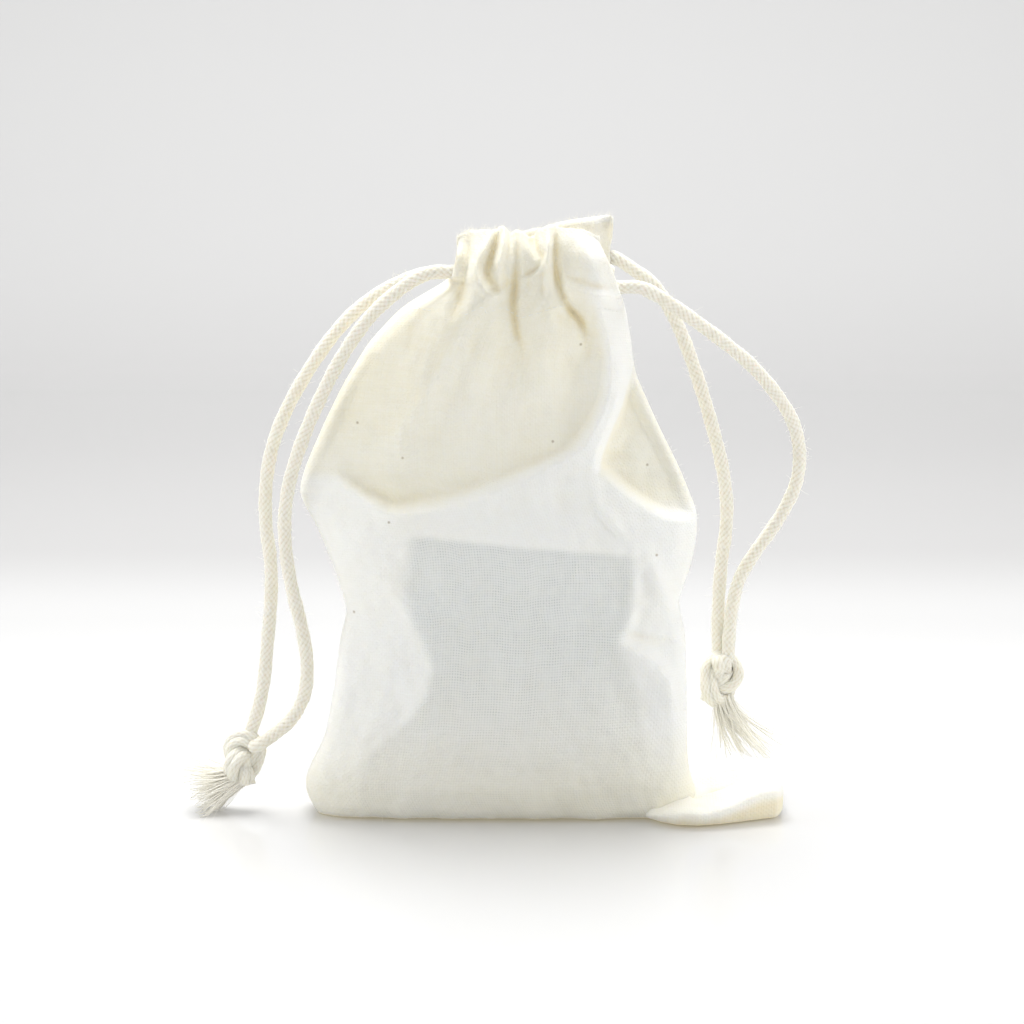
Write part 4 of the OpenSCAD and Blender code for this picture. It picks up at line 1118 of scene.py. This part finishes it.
def make_seam(word, edge, inward):
    """The seam allowance along one side, on the inside of the bag, and its stitches."""
    z = np.arange(2.5, 83.5, 0.6)
    outer = table(z, edge) + inward * 0.9
    width = 4.6 + 0.3 * np.sin(z * 0.5)
    parts = []
    for y, lift in ((-0.3, -1), (0.3, 1)):
        across = np.linspace(0, 1, 9)
        x = outer[:, None] + inward * width[:, None] * across[None, :]
        spread = y + lift * 0.35 * across[None, :] ** 2 + 0.12 * np.sin(z[:, None] * 1.3 + lift)
        sheet = np.stack([x, spread + 0 * x, z[:, None] + 0 * x], axis=-1)
        points, quads = cloth_solid(sheet, -inward * lift, 0.22)
        parts.append((points, quads, points[:, [0, 2, 1]] * [1, 1, 0] + [0, 0, 0.6]))
    points, faces, flat = joined(parts)
    piece = make_piece(f"{word}_seam_allowance", points, faces, CLOTH,
                       {"flat": flat, "tone": 0 * flat + [0.7, 0, 0]})
    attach(piece, "bag")
    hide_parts(f"{word}_seam")
    lines = []
    for at in np.arange(4, 82, 2.6):
        t = np.linspace(0, 1, 7)
        x = table(at + 1.8 * t, edge) + inward * 2.9
        lines.append(np.column_stack([x, -0.75 - 0.18 * np.sin(math.pi * t), at + 1.8 * t]))
    points, faces = thin_tubes(lines, [0.13] * len(lines), sides=6)
    piece = make_piece(f"{word}_seam_thread", points, faces, THREAD_WHITE)
    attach(piece, "bag")
    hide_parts(f"{word}_seam_stitches")


def make_nap(name, grid, count, seed):
    """Short loose fibres that stand off the cloth, thickest at the worn rim."""
    rng = np.random.default_rng(seed)
    across, along = np.gradient(grid, axis=1), np.gradient(grid, axis=0)
    side = np.sign(grid[..., 1].mean())
    normal = unit(np.cross(across, along)) * -side
    columns = grid.shape[1]
    lines = []
    for k in range(count):
        low, high = (UNDER_ROWS + 4, RIM_TOP_ROW) if k % 3 else (RIM_TOP_ROW - 32, RIM_TOP_ROW - 1)
        r = int(rng.integers(low, high))
        c = int(rng.integers(1, columns - 1))
        if k % 7 == 0:
            c = int(rng.choice([0, 1, 2, columns - 3, columns - 2, columns - 1]))
        out = unit(normal[r, c] + rng.normal(0, 0.5, 3))
        bend = rng.normal(0, 0.9, 3)
        reach = rng.uniform(0.2, 0.7) * (0.6 if k % 7 == 0 else 1)
        t = np.linspace(0, 1, 5)[:, None]
        line = grid[r, c] - normal[r, c] * 0.08 + out * reach * t + bend * reach * t ** 2
        line[:, 2] = np.maximum(line[:, 2], FLOOR_Z + 0.05)
        lines.append(line)
    points, faces = thin_tubes(lines, [0.016] * len(lines), sides=3)
    piece = make_piece(name, points, faces, YARN)
    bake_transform(piece)


make_ear()
make_nap("front_cloth_nap", front_grid, 5200, 91)
make_nap("back_cloth_nap", back_grid, 4200, 92)
make_casing_stitches("front_casing_thread", front_grid, -1, "front_casing_stitches", 84.6, 61)
make_casing_stitches("back_casing_thread", back_grid, 1, "back_casing_stitches", 84.6, 62)
make_seam("left", LEFT_SOFT, 1)
make_seam("right", RIGHT_SOFT, -1)


# ---------------------------------------------------------------- the sachet and its herbs

SACHET_SIZE = (39.0, 13.0, 43.0)
HERB_SPAN = np.array([14.5, 3.8, 16.5])     # from the middle of the herbs, each way


def in_bag(points):
    """Places in the sachet's own frame moved to where it leans in the bag."""
    c, s = math.cos(math.radians(3)), math.sin(math.radians(3))
    x, y, z = points[..., 0], points[..., 1], points[..., 2]
    return np.stack([x * c + z * s - 5.4, y, z * c - x * s + 2], axis=-1)


def make_sachet():
    """A flat wrapped packet with crimped ends, plump with herbs."""
    columns, rows = 80, 90
    u, v = np.meshgrid(np.linspace(-1, 1, columns), np.linspace(-1, 1, rows))
    crown = (np.clip(1 - np.abs(u) ** 3.4, 0, 1) * np.clip(1 - (np.abs(v) / 0.93) ** 4, 0, 1)) ** 0.5
    parts = []
    for side in (-1, 1):
        crimp = 0.12 * np.sin(u * 60) * smooth((np.abs(v) - 0.9) / 0.03)
        plump = SACHET_SIZE[1] / 2 - 0.6 + 0.28 * ripple(u * 19, v * 21, 9, 71)
        y = side * (0.14 + plump * crown) + crimp
        x = u * (SACHET_SIZE[0] / 2 - 0.3)
        z = (v + 1) * (SACHET_SIZE[2] / 2 - 0.3) + 0.3
        parts.append((in_bag(np.stack([x, y, z], axis=-1)).reshape(-1, 3),
                      grid_faces(rows, columns, flip=side > 0),
                      np.stack([x, z, crown], axis=-1).reshape(-1, 3)))
    points, faces, flat = joined(parts)
    count, border = rows * columns, grid_border(rows, columns)
    faces += [[b, a, a + count, b + count] for a, b in zip(border, border[1:] + border[:1])]
    n = Nodes("sachet_wrap")
    grain = n.noise(n.place(), 0.9, 4.0, 0.6)
    tone = n.mix(n.ramp(grain, 0.3, 0.7), (0.42, 0.5, 0.58, 1), (0.52, 0.6, 0.66, 1))
    wrap = n.surface({"Base Color": tone, "Roughness": 0.6, "Normal": n.bump(grain, 0.0001, 0.5)})
    piece = make_piece("wrapped_sachet", points, faces, wrap, {"flat": flat})
    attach(piece, "bag")
    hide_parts("inner_sachet")


def make_herbs():
    """Dried leaf flakes and stalk pieces, packed in the sachet."""
    rng = np.random.default_rng(81)
    points, faces = [], []
    for _ in range(700):
        spot = unit(rng.normal(size=3)) * rng.uniform(0.2, 1) ** 0.4 * HERB_SPAN + [0, 0, 21]
        long, wide = rng.uniform(1.0, 2.6), rng.uniform(0.3, 1.0)
        a, b = unit(rng.normal(size=3)), unit(rng.normal(size=3))
        b = unit(b - a * (a @ b))
        c = np.cross(a, b)
        start = len(points)
        for i, t in enumerate(np.linspace(-1, 1, 5)):
            w = wide * (1 - 0.75 * t * t)
            for s in (-1, 1):
                for k in (-1, 1):
                    points.append(spot + a * long * t / 2 + b * s * w / 2
                                  + c * (0.3 * t * t * wide + 0.07 * k))
            if i:
                q = start + 4 * i
                for m, o in ((0, 1), (1, 3), (3, 2), (2, 0)):
                    faces.append([q + m - 4, q + o - 4, q + o, q + m])
        faces += [[start, start + 2, start + 3, start + 1], [start + 17, start + 19, start + 18, start + 16]]
    n = Nodes("dried_herbs")
    tint = n.noise(n.place(), 0.6, 3.0, 0.7)
    tone = n.mix(n.ramp(tint, 0.3, 0.7), (0.13, 0.14, 0.05, 1), (0.3, 0.22, 0.09, 1))
    piece = make_piece("herb_flakes", in_bag(np.array(points)), faces,
                       n.surface({"Base Color": tone, "Roughness": 0.85}))
    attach(piece, "bag")
    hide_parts("herb_filling")


make_sachet()
make_herbs()


# ---------------------------------------------------------------- floor and light

def make_floor():
    """A white glossy table that runs up into a plain pale wall."""
    depth, rise, bend = 700.0, 900.0, 260.0
    profile = [(-1500.0, 0.0), (depth - bend, 0.0)]
    for a in np.linspace(0, math.pi / 2, 14)[1:]:
        profile.append((depth - bend + bend * math.sin(a), bend - bend * math.cos(a)))
    profile.append((depth, rise))
    points = [(x, y, z) for y, z in profile for x in (-1800.0, 1800.0)]
    n = Nodes("white_table")
    # painted light and shade: the table's tone is graded by distance back, dimmer farther behind the bag and
    # lighter again far back and up the wall, as the light falls there; its front is kept below white so the
    # bag's shadow shows
    back = n.split(n.place())[1]
    tone = n.ramp(back, 85, 150, 0.71, 0.64)
    tone = n.mix(n.ramp(back, 150, 222), tone, (0.525, 0.52, 0.52, 1))
    tone = n.mix(n.ramp(back, 330, 650), tone, (0.8, 0.8, 0.8, 1))
    white = n.surface({"Base Color": tone, "Roughness": 0.14, "Specular IOR Level": 0.5})
    floor = make_piece("table", points, grid_faces(len(profile), 2), white)


def area_light(name, at, aim_z, size, power):
    """A square softbox, turned toward a height on the bag's middle line."""
    data = bpy.data.lights.new(name, "AREA")
    data.shape, data.size, data.energy = "SQUARE", size * MM, power
    light = bpy.data.objects.new(name, data)
    bpy.context.scene.collection.objects.link(light)
    away = unit(np.array(at, float) - [0, 0, aim_z])
    light.location = np.array(at, float) * MM
    light.rotation_euler = (math.acos(away[2]), 0, math.atan2(away[0], -away[1]))


def make_lights():
    area_light("top_back_softbox", (-30, 165, 560), 40, 330, 3.4)
    area_light("left_softbox", (-450, -60, 180), 60, 380, 0.82)
    area_light("right_softbox", (450, -60, 180), 60, 380, 0.85)
    area_light("front_fill", (30, -620, 420), 60, 500, 0.85)
    world = bpy.data.worlds.new("studio")
    bpy.context.scene.world = world
    world.use_nodes = True
    background = world.node_tree.nodes["Background"]
    background.inputs["Color"].default_value = (1.0, 0.995, 0.985, 1)
    background.inputs["Strength"].default_value = 0.5
    bpy.context.scene.view_settings.view_transform = "Standard"


make_floor()
make_lights()
